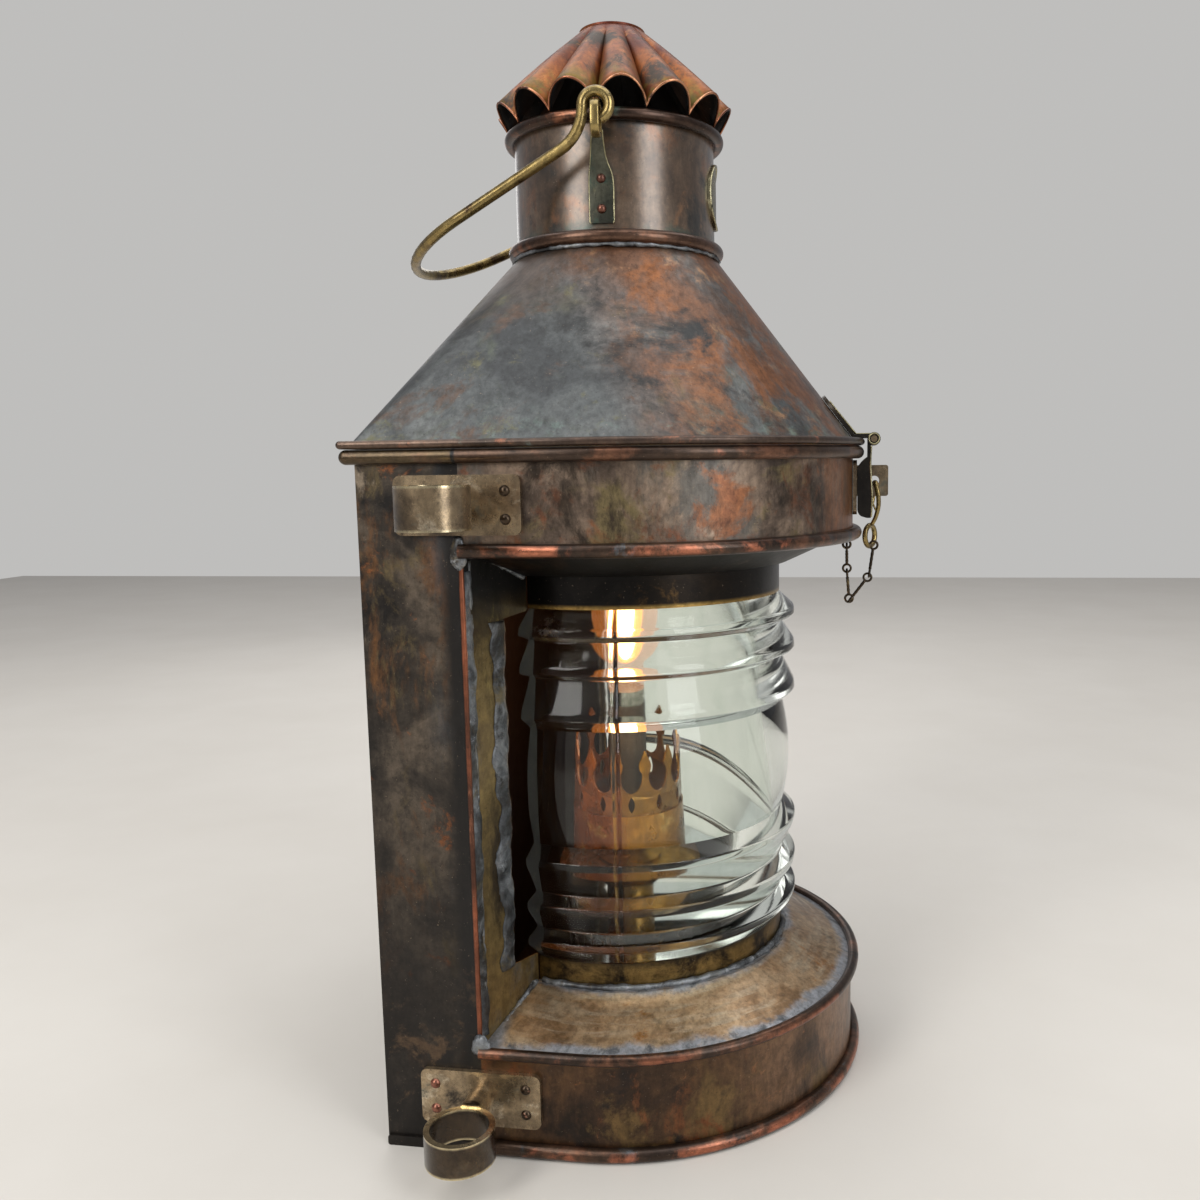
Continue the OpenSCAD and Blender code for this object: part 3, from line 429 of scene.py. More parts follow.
# The underside of the upper ledge is painted near-black as shade.
SOFFIT_SHADE = aged("soffit_bronze_painted_shade", ["#050403", "#0b0806", "#15100a"], [
    ("#33210f", 22, 0.56, 0.70, 0.4, 0.8),
], rough=0.5, metal=0.6, coat=0.0)
JAMB = aged("jamb_brass", ["#463820", "#665430", "#7e6a42", "#6a583a"], [
    ("#382c1c", 24, 0.50, 0.64, 0.42, 0.8, (1, 1, 0.4)),
    ("#5e5850", 30, 0.55, 0.67, 0.5, 0.5, (1, 1, 0.5)),
    ("#98844e", 50, 0.58, 0.70, 0.34, 0.9, (1, 1, 0.4)),
    # Painted shadow: the jamb darkens towards its top, under the upper ledge.
    ("#0c0906", 20, 0.10, 0.25, 0.5, 0.6, EVEN, above(292, 322)),
], rough=0.38, metal=0.7)
# The near-black ground is painted shade, meant for the upper collar under the ledge; the lower collar is
# mostly covered with olive brass below.
COLLAR_SHADE_AND_GLINT = aged("collar_brass_painted_shade_and_highlight", ["#080604", "#120d08", "#22190f"], [
    ("#4e3a20", 40, 0.58, 0.70, 0.3, 0.9),
    ("#100c08", 24, 0.52, 0.64, 0.4, 0.8),
    # Painted highlight along the upper collar's lower edge.
    ("#a8884c", 30, 0.30, 0.46, 0.26, 0.95, EVEN, near_level(LENS_MID + LENS_HALF, 3.2)),
    ("#80683c", 30, 0.36, 0.56, 0.30, 0.9, EVEN, below(88, 96)),
], rough=0.34, metal=0.85, brush=(1, 1, 4))
SOLDER = aged("old_solder", ["#2e2f31", "#5a5d60", "#84878a", "#626361"], [
    ("#2a2724", 40, 0.52, 0.62, 0.55, 0.5),
    ("#b4b8bc", 60, 0.58, 0.68, 0.3, 0.8),
    ("#6a5c40", 26, 0.56, 0.68, 0.5, 0.5),
], rough=0.44, metal=0.6, grain=0.9, dents=0.5, blotch=40)
PUTTY = aged("old_putty", ["#232426", "#494c4f", "#707376", "#504f4d"], [
    ("#1a1816", 30, 0.46, 0.60, 0.55, 0.3),
    ("#9a9ea2", 60, 0.60, 0.70, 0.35, 0.5),
    ("#5e5236", 26, 0.56, 0.68, 0.5, 0.4),
], rough=0.5, metal=0.4, grain=0.9, dents=0.5, blotch=40)
BRASS = aged("fitting_brass", ["#362c20", "#6e5d47", "#988467", "#79664e"], [
    ("#2a2118", 22, 0.56, 0.66, 0.42, 0.8),
    ("#c0b096", 46, 0.56, 0.68, 0.24, 0.9),
    ("#565448", 30, 0.56, 0.68, 0.48, 0.6),
    ("#5e4630", 34, 0.58, 0.70, 0.4, 0.8),
    ("#3c2f20", 14, 0.30, 0.52, 0.26, 0.9, EVEN, low_ring),
    # Painted highlight along the socket rings' cut rims.
    ("#d2c29c", 60, 0.24, 0.42, 0.20, 1.0, EVEN, ring_rim_highlight),
], rough=0.27, metal=0.85, dents=0.25, brush=(1, 1, 0.5), coat=0.5)
BADGE = aged("badge_brass", ["#5e5844", "#8f886c", "#b2ab90"], [
    ("#3a3628", 90, 0.54, 0.66, 0.4, 0.8),
], rough=0.28, metal=0.9, dents=0.6, grain=1.0)
BAIL = aged("bail_brass", ["#54431f", "#7a6636", "#95814e", "#80693a"], [
    ("#43301a", 40, 0.50, 0.64, 0.34, 0.9),
    ("#a8955f", 70, 0.56, 0.74, 0.24, 1.0),
    ("#4c3d22", 60, 0.58, 0.74, 0.34, 0.85),
], rough=0.26, metal=0.85, grain=0.1, dents=0.02, coat=0.4)
EAR = aged("ear_brass", ["#2a2b25", "#43443a", "#5c5b4c"], [
    ("#2a4034", 50, 0.52, 0.66, 0.5, 0.5),
    ("#6f6a52", 90, 0.58, 0.70, 0.32, 0.9),
], rough=0.36, metal=0.8)
EAR_EDGE = aged("ear_edge_brass", ["#6c6650", "#97906f", "#b8b08e"], [
    ("#3a3a2c", 80, 0.54, 0.66, 0.4, 0.8),
], rough=0.28, metal=0.95, dents=0.0)
RIVET = aged("rivet_copper", ["#5e3d32", "#875746", "#a06c5a"], [
    ("#3c2f22", 40, 0.10, 0.30, 0.3, 0.9, EVEN, front_rivets),
    ("#c08c78", 200, 0.58, 0.70, 0.25, 1.0),
    ("#2c211c", 160, 0.58, 0.70, 0.45, 0.6),
], rough=0.32, metal=0.9, dents=0.02)
DARK = aged("dark_iron", ["#1a1714", "#292520", "#3a332a"], [
    ("#6a5a3c", 60, 0.58, 0.70, 0.35, 0.9),
], rough=0.42, metal=0.75)
CHAIN = aged("chain_brass", ["#332a20", "#4a3d2c", "#625238"], [
    ("#8a7850", 120, 0.56, 0.68, 0.30, 0.95),
], rough=0.36, metal=0.9, dents=0.0)
LAMP_BRASS = aged("lamp_brass", ["#5c3f18", "#846024", "#9c7834"], [
    # The back half, away from the glass, is painted darker and red-brown as shade.
    ("#5e381a", 14, 0.16, 0.40, 0.26, 0.55, EVEN, behind(-6, 12)),
    ("#4a2f14", 40, 0.54, 0.68, 0.35, 0.95),
], rough=0.24, metal=0.8, dents=0.05)
CUP = aged("burner_brass", ["#68441a", "#8e6426", "#a87e38"], [
    # The back half, away from the glass, is painted darker and red-brown as shade.
    ("#62371a", 14, 0.16, 0.40, 0.26, 0.55, EVEN, behind(-6, 12)),
    ("#2e1c0c", 40, 0.54, 0.68, 0.35, 0.95),
    ("#b0925a", 50, 0.58, 0.70, 0.18, 1.0),
], rough=0.24, metal=0.75, dents=0.08)
CAP_EDGE = aged("cap_edge_copper", ["#6a3e2a", "#a0684a", "#c08a66"], [
    ("#3a2019", 60, 0.54, 0.66, 0.5, 0.7),
], rough=0.28, metal=0.95, dents=0.0)
FOLD = aged("fold_copper", ["#4e3024", "#7c4832", "#96583e"], [
    ("#b87a5c", 40, 0.52, 0.66, 0.28, 0.95, (1, 1, 0.3)),
    ("#2c211c", 26, 0.52, 0.64, 0.45, 0.6, (1, 1, 0.3)),
    ("#6c7074", 34, 0.58, 0.68, 0.45, 0.6, (1, 1, 0.4)),
], rough=0.34, metal=0.85, dents=0.05)
HOLDER = aged("holder_black", ["#1d1917", "#2a2522", "#352f2b"], [
    ("#4a3a2a", 40, 0.60, 0.72, 0.5, 0.0),
], rough=0.5, metal=0.0)
BULB_CAP = aged("bulb_cap_metal", ["#8c877c", "#a5a095", "#b6b1a6"], [
    ("#6a5a44", 60, 0.58, 0.70, 0.4, 0.9),
], rough=0.25, metal=1.0)
# Near-black finish for the lens's cut ends: painted shade where the glass meets the dark gap by the jamb.
LENS_END_SHADE = aged("lens_end_painted_shade", ["#060504", "#0e0b09", "#1a1512"], [
    ("#2e2822", 60, 0.58, 0.70, 0.6, 0.0),
], rough=0.6, metal=0.0, coat=0.0)


def glass_finish():
    """Clear in the belt, a little hazy on the prisms, with a chipped patch on the top prism."""
    f = Finish("lens_glass")
    prisms = f.mask(f.size(f.z - LENS_MID * MM), 38 * MM, 46 * MM)
    film = f.mask(f.noise(40, 7, 0.66, 0.3, (1, 1, 0.3)), 0.46, 0.72)
    drawn = f.mask(f.noise(300, 4, 0.65, 0.1, (1, 1, 14)), 0.52, 0.70)
    scratch = f.mask(f.noise(420, 3, 0.6, 0.4, (1, 1, 0.1)), 0.66, 0.72)
    chip = near_point((-22, -110, 297), 15)(f) * f.mask(f.noise(110, 6, 0.7), 0.40, 0.52)
    rough = 0.012 + 0.05 * prisms + 0.03 * film + 0.06 * drawn * prisms + 0.15 * scratch + 0.5 * chip
    filmed = f.mix(film, rgb("#f6fbf6"), rgb("#e6eee6"))
    colour = f.mix(chip * 0.6, filmed, rgb("#d8cfc4"))
    return f.paint(colour=colour, rough=rough, metal=0.0, clear=1.0, ior=1.34)


def glow_finish(name, strength, alpha, low, high, ground="#3a2410", scale=90):
    """Glowing glass or its core, see-through where alpha is low."""
    f = Finish(name)
    mottle = f.mask(f.noise(scale), 0.2, 0.8)
    return f.paint(colour=rgb(ground), rough=0.3, metal=0.0, alpha=alpha, glow_strength=strength,
                   glow=f.mix(mottle, rgb(low), rgb(high)))


GLASS = glass_finish()
BULB = glow_finish("bulb_glow", 1.0, 0.16, "#c86a20", "#e88a38", "#4a3018", 60)
CORE = glow_finish("bulb_core", 14.0, 1.0, "#ffc47c", "#ffdca6")
HALO = glow_finish("bulb_halo", 4.5, 0.3, "#f0883c", "#ffa050")

BRACKETS = "bracket_upper_left bracket_upper_right bracket_lower_left bracket_lower_right"
NODES_BY_FINISH = (
    (PANEL, "back_case base_plate side_hems seat_rail_back"),
    (BAND, "upper_band"),
    (DRUM, "base_drum"),
    (LEDGE, "lower_ledge"),
    (SOFFIT_SHADE, "upper_ledge"),
    (SEAT_BEAD, "seat_bead_front seat_bead_left seat_bead_right"),
    (BEAD, "band_bead ledge_bead base_bead"),
    (GLASS, "lens"),
    (COLLAR_SHADE_AND_GLINT, "lens_collar_upper lens_collar_lower"),
    (JAMB, "jamb_left jamb_right"),
    (BRASS, BRACKETS + " hinge_leaf_case hinge_leaf_lid hinge_pin hasp_staple hasp_pin"),
    (RIVET, "bracket_rivets ear_rivets"),
    (CHAIN, "safety_chain chain_eye"),
    (LAMP_BRASS, "oil_font burner_foot burner_gallery"),
    (CUP, "burner_cup"),
    (HOLDER, "lamp_holder"),
    (BULB_CAP, "bulb_cap"),
    (BULB, "bulb_glass"),
    (ROOF, "roof"),
    (EAVE, "eave_rim"),
    (NECK, "neck"),
    (NECK_RIM, "neck_bead neck_rim"),
    (CAP, "cap cap_crown"),
    (DARK, "vent_baffle hasp_roof_strap hasp"),
    (EAR, "bail_ear_left bail_ear_right"),
    (BADGE, "badge_plate"),
    (BAIL, "bail staple_hook"),
)
NODES_BY_SOFT_EDGE = (
    (1.3, BRACKETS),
    (1.0, "oil_font"),
    (0.6, "hasp_staple"),
    (0.5, "back_case hasp hasp_roof_strap hinge_leaf_case hinge_leaf_lid"),
    (0.4, "badge_plate jamb_left jamb_right side_hems burner_cup cap_crown"),
    (0.3, "lens_collar_upper lens_collar_lower"),
)


def by_node(groups):
    return {name: value for value, names in groups for name in names.split()}


finishes = by_node(NODES_BY_FINISH)
soft_edges = by_node(NODES_BY_SOFT_EDGE)
for name, node in nodes.items():
    node.data.materials.clear()
    node.data.materials.append(finishes[name])
    if name in soft_edges:
        bevel = node.modifiers.new("soft_edge", "BEVEL")
        bevel.width = soft_edges[name] * MM
        bevel.segments = 3
        bevel.limit_method = "ANGLE"
        bevel.angle_limit = math.radians(40)


# Mesh makers
def polar(r, angle, z):
    a = math.radians(angle)
    return Vector((r * math.cos(a), r * math.sin(a), z))


def spread(first, last, count):
    return [first + (last - first) * i / (count - 1) for i in range(count)]


def new_piece(name, shape, material, body, smooth=True, sharp=None):
    """Object from vertices in millimetres and faces; edges sharper than the angle given stay crisp."""
    verts, faces = shape
    mesh = bpy.data.meshes.new(name)
    mesh.from_pydata([tuple(v * MM) for v in verts], [], faces)
    bm = bmesh.new()
    bm.from_mesh(mesh)
    bmesh.ops.recalc_face_normals(bm, faces=bm.faces)
    for face in bm.faces:
        face.smooth = smooth
    for edge in bm.edges if sharp else []:
        edge.smooth = len(edge.link_faces) != 2 or edge.calc_face_angle(0.0) <= math.radians(sharp)
    bm.to_mesh(mesh)
    bm.free()
    mesh.materials.append(material)
    piece = bpy.data.objects.new(name, mesh)
    bpy.context.scene.collection.objects.link(piece)
    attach(piece, body)
    return piece


def skinned(rows, closed=False):
    """Skin over rings of points, with flat ends unless it closes on itself."""
    count, n = len(rows), len(rows[0])
    faces = []
    for i in range(count if closed else count - 1):
        this, after = i * n, (i + 1) % count * n
        for j in range(n):
            k = (j + 1) % n
            faces.append((this + j, this + k, after + k, after + j))
    if not closed:
        faces.append(tuple(range(n)))
        faces.append(tuple(range((count - 1) * n, count * n)))
    return [v for row in rows for v in row], faces


def directions(path, closed):
    """Direction of the path at each of its points."""
    count = len(path)
    for i in range(count):
        before = path[(i - 1) % count] if closed or i else path[0]
        after = path[(i + 1) % count] if closed or i < count - 1 else path[-1]
        yield (after - before).normalized()


def tube(path, radius, sides=12, closed=False, rough=0.0):
    """Round rod along a path; the radius is a number or a function of the index."""
    side = next(directions(path, closed)).orthogonal().normalized()
    rows = []
    for i, (p, along) in enumerate(zip(path, directions(path, closed))):
        side = (side - along * side.dot(along)).normalized()
        up = along.cross(side)
        r = radius(i) if callable(radius) else radius
        rows.append([])
        for k in range(sides):
            a = 2 * math.pi * k / sides
            reach = r * (1 + dice.uniform(-rough, rough))
            rows[-1].append(p + side * (reach * math.cos(a)) + up * (reach * math.sin(a)))
    return skinned(rows, closed)


def bar(path, across, width, thick, closed=False):
    """Flat bar with rounded edges along a path; across is the direction of its width."""
    sides = 16
    rows = []
    for p, along in zip(path, directions(path, closed)):
        out = along.cross(across)
        rows.append([])
        for k in range(sides):
            c, s = math.cos(2 * math.pi * k / sides), math.sin(2 * math.pi * k / sides)
            w = math.copysign(math.sqrt(abs(c)), c) * width / 2
            h = math.copysign(math.sqrt(abs(s)), s) * thick / 2
            rows[-1].append(p + across * w + out * h)
    return skinned(rows, closed)


def smooth_path(points, steps=6):
    """Curve through the points."""
    out = []
    last = len(points) - 1
    for i in range(last):
        a, b, c, d = (points[min(last, max(0, i + k))] for k in (-1, 0, 1, 2))
        for t in spread(0, 1 - 1 / steps, steps):
            out.append((b * 2 + (c - a) * t + (a * 2 - b * 5 + c * 4 - d) * t ** 2
                        + (b * 3 - a - c * 3 + d) * t ** 3) * 0.5)
    return out + [points[-1]]


def circle(centre, u, v, radius, count):
    turns = [2 * math.pi * k / count for k in range(count)]
    return [centre + u * (radius * math.cos(t)) + v * (radius * math.sin(t)) for t in turns]


def lump(centre, reach, rough):
    """Uneven blob of solder."""
    levels, sides = 12, 18
    rows = []
    for i in range(1, levels):
        up = math.pi * i / levels
        rows.append([])
        for k in range(sides):
            a = 2 * math.pi * k / sides
            way = Vector((math.sin(up) * math.cos(a), math.sin(up) * math.sin(a), math.cos(up)))
            grow = 1 + rough * math.sin(3 * a + 5 * up) * math.sin(2 * up + a) + dice.uniform(-0.04, 0.04)
            rows[-1].append(centre + Vector(w * s for w, s in zip(way, reach)) * grow)
    return skinned(rows)


def joined(*shapes):
    """One shape out of several that stay apart."""
    verts, faces = [], []
    for v, f in shapes:
        base = len(verts)
        verts += v
        faces += [tuple(i + base for i in face) for face in f]
    return verts, faces


# Lens: the prisms with rounded tips, and the mould seam that faces the side
TIPS = (42.2, 69.3, 91.5)
TIP_R = 112.7
TIP_H = 4.5
TIP_DROP = 4.0
ROOT_R = 103.0
BELT_R = 108.5
LENS_IN_R = 95.0
LENS_LAP = 7.9
MOULD_SEAM = -81.5


def rounded(points, radius, steps=4):
    """Outline with its inner corners rounded."""
    out = [points[0]]
    for a, b, c in zip(points, points[1:], points[2:]):
        va, vc = Vector(a) - Vector(b), Vector(c) - Vector(b)
        cut = min(radius, va.length * 0.45, vc.length * 0.45)
        p, q = Vector(b) + va.normalized() * cut, Vector(b) + vc.normalized() * cut
        for t in spread(0, 1, steps + 1):
            out.append(tuple(p * (1 - t) ** 2 + Vector(b) * (2 * t * (1 - t)) + q * t * t))
    out.append(points[-1])
    return out


def lens_face():
    """Outer outline from the lowest prism to the highest, with heights from the middle of the glass."""
    half = TIPS[0] - TIP_DROP
    roots = [(ROOT_R, tip - TIP_DROP) for tip in TIPS[1:]] + [(COLLAR_IN_R - 0.1, LENS_HALF)]
    upper = [(ROOT_R, half)]
    for tip, root in zip(TIPS, roots):
        upper += [(TIP_R, tip), (TIP_R - 0.6, tip + TIP_H), root]
    sag = BELT_R - ROOT_R
    arc = (half * half + sag * sag) / (2 * sag)
    belt = [(BELT_R - arc + math.sqrt(arc * arc - z * z), z) for z in spread(-half, half, 25)]
    lower = [(r, -z) for r, z in reversed(upper)]
    return rounded(lower, 1.2)[:-1] + belt[1:-1] + rounded(upper, 1.2)[1:]


def make_lens():
    """Curved glass with prisms, a raised mould seam and a slightly wavy inside."""
    seam_high, seam_half = 0.8, 1.15
    seam = [MOULD_SEAM + d for d in (-1.5, -1.1, -0.8, -0.5, 0, 0.5, 0.8, 1.1, 1.5)]
    angles = sorted(set([round(a, 2) for a in spread(-JAMB_ANGLE, JAMB_ANGLE, 151)] + seam))
    end, end_r = LENS_HALF + LENS_LAP, COLLAR_IN_R - 0.15
    face = lens_face()
    rows = []
    for a in angles:
        off = (a - MOULD_SEAM) / seam_half
        proud = seam_high * max(0.0, 1 - off * off)
        row = [polar(end_r, a, LENS_MID - end)]
        for r, z in face:
            row.append(polar(r + (proud if abs(z) < LENS_HALF - 1 else 0), a, z + LENS_MID))
        row.append(polar(end_r, a, LENS_MID + end))
        for z in spread(end, -end, 24):
            wave = 0.12 * math.sin(a * 0.11) * math.sin(z * 0.045 + a * 0.03)
            row.append(polar(LENS_IN_R + wave, a, z + LENS_MID))
        rows.append(row)
    glass = new_piece("lens_glass", skinned(rows), GLASS, "case", sharp=30)
    # The two cut ends take the near-black finish, as painted shade.
    glass.data.materials.append(LENS_END_SHADE)
    for cut_end in list(glass.data.polygons)[-2:]:
        cut_end.material_index = 1
    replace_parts(glass, "lens")


def make_bulb_core():
    """Bright core of the lit bulb inside a dimmer shell."""
    sides = 24
    for name, finish, wide, tall in (("bulb_core", CORE, 7.0, 20.0), ("bulb_halo", HALO, 13.0, 22.5)):
        rows = []
        for up in spread(math.pi / 16, math.pi * 15 / 16, 15):
            r, z = wide * math.sin(up), BULB_Z + tall * math.cos(up)
            rows.append([polar(r, 360 / sides * k, z) for k in range(sides)])
        new_piece(name, skinned(rows), finish, "case")


make_lens()
make_bulb_core()


# Cap: fluted sheet with a bright cut edge
def make_cap():
    flutes, per, rows, sheet = 14, 24, 16, 1.1
    crown_r, flute_out, flute_rise, first_flute = 20.5, 8.0, 14.0, -73.8
    turns = flutes * per

    def point(i, j, drop):
        """Place round and down the cap, with its depth below the outer face."""
        s = j / rows
        swell = s * abs(math.cos(math.pi * i / per)) ** 0.62
        r = crown_r + (NECK_RIM_R - crown_r) * s + flute_out * swell
        z = CAP_Z + CAP_H * (1 - s) + flute_rise * swell + 1.2 * math.sin(math.pi * s) - drop
        return polar(r, first_flute + 360 * i / turns, z)

    rings = [[point(i, j, 0) for i in range(turns)] for j in range(rows + 1)]
    rings += [[point(i, j, sheet) for i in range(turns)] for j in range(rows, -1, -1)]
    cap = new_piece("cap_fluted", skinned(rings, True), CAP, "lid", sharp=60)
    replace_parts(cap, "cap")
    # A near-black sheet just under the cap: soot and painted shade.
    soot_and_shade_rows = [[point(i, j, sheet + 0.15) for i in range(turns)] for j in range(rows + 1)]
    soot_and_shade_rows += [[point(i, j, sheet + 0.4) for i in range(turns)] for j in range(rows, -1, -1)]
    new_piece("cap_soot_and_shade", skinned(soot_and_shade_rows, True), SOOT_AND_SHADE, "lid")
    edge = [point(i, rows, sheet * 0.5) for i in range(turns)]
    new_piece("cap_edge", tube(edge, 0.7, 8, True), CAP_EDGE, "lid")


make_cap()


# Solder and putty
def uneven(size, spare):
    """Radius that wanders along a seam."""
    return lambda i: size + dice.uniform(-spare, spare)


def ledge_z(inward, upper=False):
    """Height of a ledge's outer skin at a distance in from the wall."""
    share = min(1.0, max(0.0, (inward - 1.5) / (CASE_R - 1.5 - COLLAR_R - 6)))
    return BAND_BOTTOM - LEDGE_RISE * share if upper else DRUM_TOP + LEDGE_RISE * share


def make_solder(side, word):
    """Seams where the jamb meets the ledges and the wall, with a blob at each end."""
    angle = side * (JAMB_ANGLE - 0.35)
    radii = spread(COLLAR_R + 4, CASE_R - 1, 30)
    foot = [polar(r, angle, ledge_z(CASE_R - r) + 0.6 + dice.uniform(-0.3, 0.3)) for r in radii]
    head = [polar(r, angle, ledge_z(CASE_R - r, True) - 0.6 + dice.uniform(-0.3, 0.3)) for r in radii]
    wall = [polar(CASE_R + 3.4, angle + side * 0.6, z) + Vector((0, -side * 1.4, 0))
            for z in spread(DRUM_TOP + 6, BAND_BOTTOM - 6, 60)]
    low = lump(Vector((-SEAM_X + 1, side * (CASE_R + 1.2), DRUM_TOP + 4)), (5.5, 2.2, 6.5), 0.16)
    high = lump(Vector((-SEAM_X - 1, side * (CASE_R + 0.6), BAND_BOTTOM - 1)), (4.5, 2.0, 8.5), 0.16)
    seams = [tube(path, uneven(size, spare), 10, rough=0.18) for path, size, spare in (
        (foot, 1.9, 0.5), (head, 1.5, 0.3), (wall, 1.5, 0.35))]
    new_piece("solder_jamb_" + word, joined(*seams, low, high), SOLDER, "case")


def jamb_cut(z):
    """Radius of the jamb's cut edge, with heights from the middle of the glass."""
    cheek_r = 126.0
    if abs(z) > LENS_HALF - 3:
        return COLLAR_R + 1.2
    return cheek_r + 0.9 * math.sin(z * 0.12) + 0.5 * math.sin(z * 0.37)


def make_jamb(side, word):
    """Brass cheek beside the glass."""
    wall_r = (CASE_R - 1.3) / math.sin(math.radians(JAMB_ANGLE))
    back = polar(1, side * JAMB_ANGLE + 90, 0) * side * JAMB_SHEET
    rows = []
    for z in spread(DRUM_TOP - LENS_MID + 0.3, BAND_BOTTOM - LENS_MID - 0.3, 140):
        front = [polar(r, side * JAMB_ANGLE, z + LENS_MID) for r in spread(jamb_cut(z), wall_r, 10)]
        rows.append(front + [p + back for p in reversed(front)])
    cheek = new_piece("jamb_cheek_" + word, skinned(rows), JAMB, "case", sharp=40)
    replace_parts(cheek, "jamb_" + word)


def smear(side, start, width, height, reach):
    """Ribbon of putty on the jamb; start and width are functions of the height from the glass's middle."""
    across = polar(1, side * JAMB_ANGLE + 90, 0) * -side
    shares = spread(0, 1, 11)
    rows = []
    for z in spread(-reach, reach, 130):
        inner = start(z) + dice.uniform(-0.3, 0.3)
        wide = width(z) + dice.uniform(-0.4, 0.4)
        foot = [polar(inner + wide * t, side * JAMB_ANGLE, z + LENS_MID) for t in shares]
        top = []
        for p, t in zip(foot, shares):
            arch = math.sqrt(max(0.0, 1 - (2 * t - 1) ** 2))
            dome = height * arch * (0.8 + 0.3 * math.sin(z * 0.5 + t * 4)) + dice.uniform(-0.12, 0.12)
            top.append(p + across * (0.3 + dome))
        rows.append(top + [p + across * 0.1 for p in reversed(foot)])
    return skinned(rows)


def make_putty(side, word):
    """Putty smeared along the jamb's cut edge and along the wall."""
    def edge_start(z):
        return jamb_cut(z) - 0.8

    def edge_width(z):
        return 11.5 + 1.8 * math.sin(z * 0.09 + side) + 1.1 * math.sin(z * 0.31)

    def wall_start(z):
        return CASE_R + 1.5 + 1.2 * math.sin(z * 0.07) + 0.8 * math.sin(z * 0.23)

    def wall_width(z):
        return 7.2 - 0.5 * math.sin(z * 0.07)

    edge = smear(side, edge_start, edge_width, 1.2, LENS_HALF - 4)
    wall = smear(side, wall_start, wall_width, 0.9, (BAND_BOTTOM - DRUM_TOP) / 2 - 9)
    new_piece("jamb_putty_" + word, joined(edge, wall), PUTTY, "case")


def make_fold(side, word):
    """Copper edge of the side panel where it turns in beside the glass."""
    heights = spread(DRUM_TOP + 5, BAND_BOTTOM - 5, 50)
    path = [Vector((-SEAM_X - 0.2, side * (CASE_R - 0.6), z)) for z in heights]
    new_piece("jamb_fold_" + word, tube(path, uneven(1.5, 0.08), 10), FOLD, "case")


def make_rings():
    """Solder round the foot of the lens collar and of the neck."""
    collar = [polar(COLLAR_R + 1.4 + dice.uniform(-0.5, 0.6), a, DRUM_TOP + LEDGE_RISE + 0.7)
              for a in spread(-JAMB_ANGLE + 2, JAMB_ANGLE - 2, 110)]
    collar_seam = tube(collar, uneven(2.0, 0.5), 10, rough=0.18)
    new_piece("solder_collar_foot", collar_seam, SOLDER, "case")
    neck = [polar(NECK_R + 2.6, a, HOOD_TOP + 0.5 + dice.uniform(-0.3, 0.3)) for a in spread(0, 357, 120)]
    neck_seam = tube(neck, uneven(1.2, 0.4), 10, True, 0.15)
    new_piece("solder_neck_foot", neck_seam, SOLDER, "lid")


make_rings()
for side, word in ((-1, "left"), (1, "right")):
    make_solder(side, word)
    make_jamb(side, word)
    make_putty(side, word)
    make_fold(side, word)


# Chain of bar links with an eye at each end, and the snap hook, its points measured from the staple's hole
CHAIN_CROSSINGS = ((163.5, 337.0), (160.5, 316.0), (148.0, 299.5), (146.5, 319.0), (146.3, 336.0))
STAPLE_HOLE = Vector((163.5, 0, 376.4))
HOOK_BOW = (
    (-1.0, 3.6, -14), (-0.4, 4.2, -9), (0, 3.9, -4.5), (0.2, 2.2, -1.6), (0.4, 0, -1.3), (0.8, -2.2, -1.6),
    (1.4, -3.9, -4.5), (2.4, -4.3, -9), (2.6, -3.6, -16), (1.0, -1.8, -23), (-1.2, -0.6, -27.5))
HOOK_GATE = ((-1.6, -4.4, -6), (-1.7, -4.3, -10), (-0.6, -3.9, -15), (1.2, -3.2, -19))
HOOK_RING = (-2.6, 0, -35.0)
HOOK_RING_TURN = 62


def link_shape(a, b):
    """Bar between two crossing points; the eyes at its ends stand square to each other."""
    along = (b - a).normalized()
    up = along.cross(SIDEWAYS)
    wire, eye, lap = 0.75, 2.5, 0.9
    shapes = []
    for end, sign, across in ((a, 1, up), (b, -1, SIDEWAYS)):
        centre = end + along * (sign * (eye - lap))
        shapes.append(tube(circle(centre, along, across, eye, 20), wire, 8, True))
    start, stop = a + along * (2 * eye - lap), b - along * (2 * eye - lap)
    shapes.append(tube([start.lerp(stop, t) for t in spread(0, 1, 9)], lambda i: 1.05 - 0.15 * (i % 2), 8))
    return joined(*shapes)


def make_chain():
    crossings = [Vector((x, 0, z)) for x, z in CHAIN_CROSSINGS]
    links = [link_shape(a, b) for a, b in zip(crossings, crossings[1:])]
    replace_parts(new_piece("chain_links", joined(*links), CHAIN, "case"), "safety_chain")


def make_hook():
    """Snap hook: a bow through the staple's hole, a spring gate and a ring for the chain."""
    bow, gate = [smooth_path([STAPLE_HOLE + Vector(p) for p in route]) for route in (HOOK_BOW, HOOK_GATE)]
    turn = math.radians(HOOK_RING_TURN)
    flat = Vector((math.cos(turn), math.sin(turn), 0))
    ring = circle(STAPLE_HOLE + Vector(HOOK_RING), flat, UPWARD, 6.6, 40)
    swell = tube(bow, lambda i: 1.25 + 0.35 * math.sin(math.pi * i / len(bow)), 12)
    shapes = [swell, tube(gate, 0.6, 8), tube(ring, 1.7, 12, True)]
    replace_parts(new_piece("snap_hook", joined(*shapes), BAIL, "case"), "staple_hook")


make_chain()
make_hook()


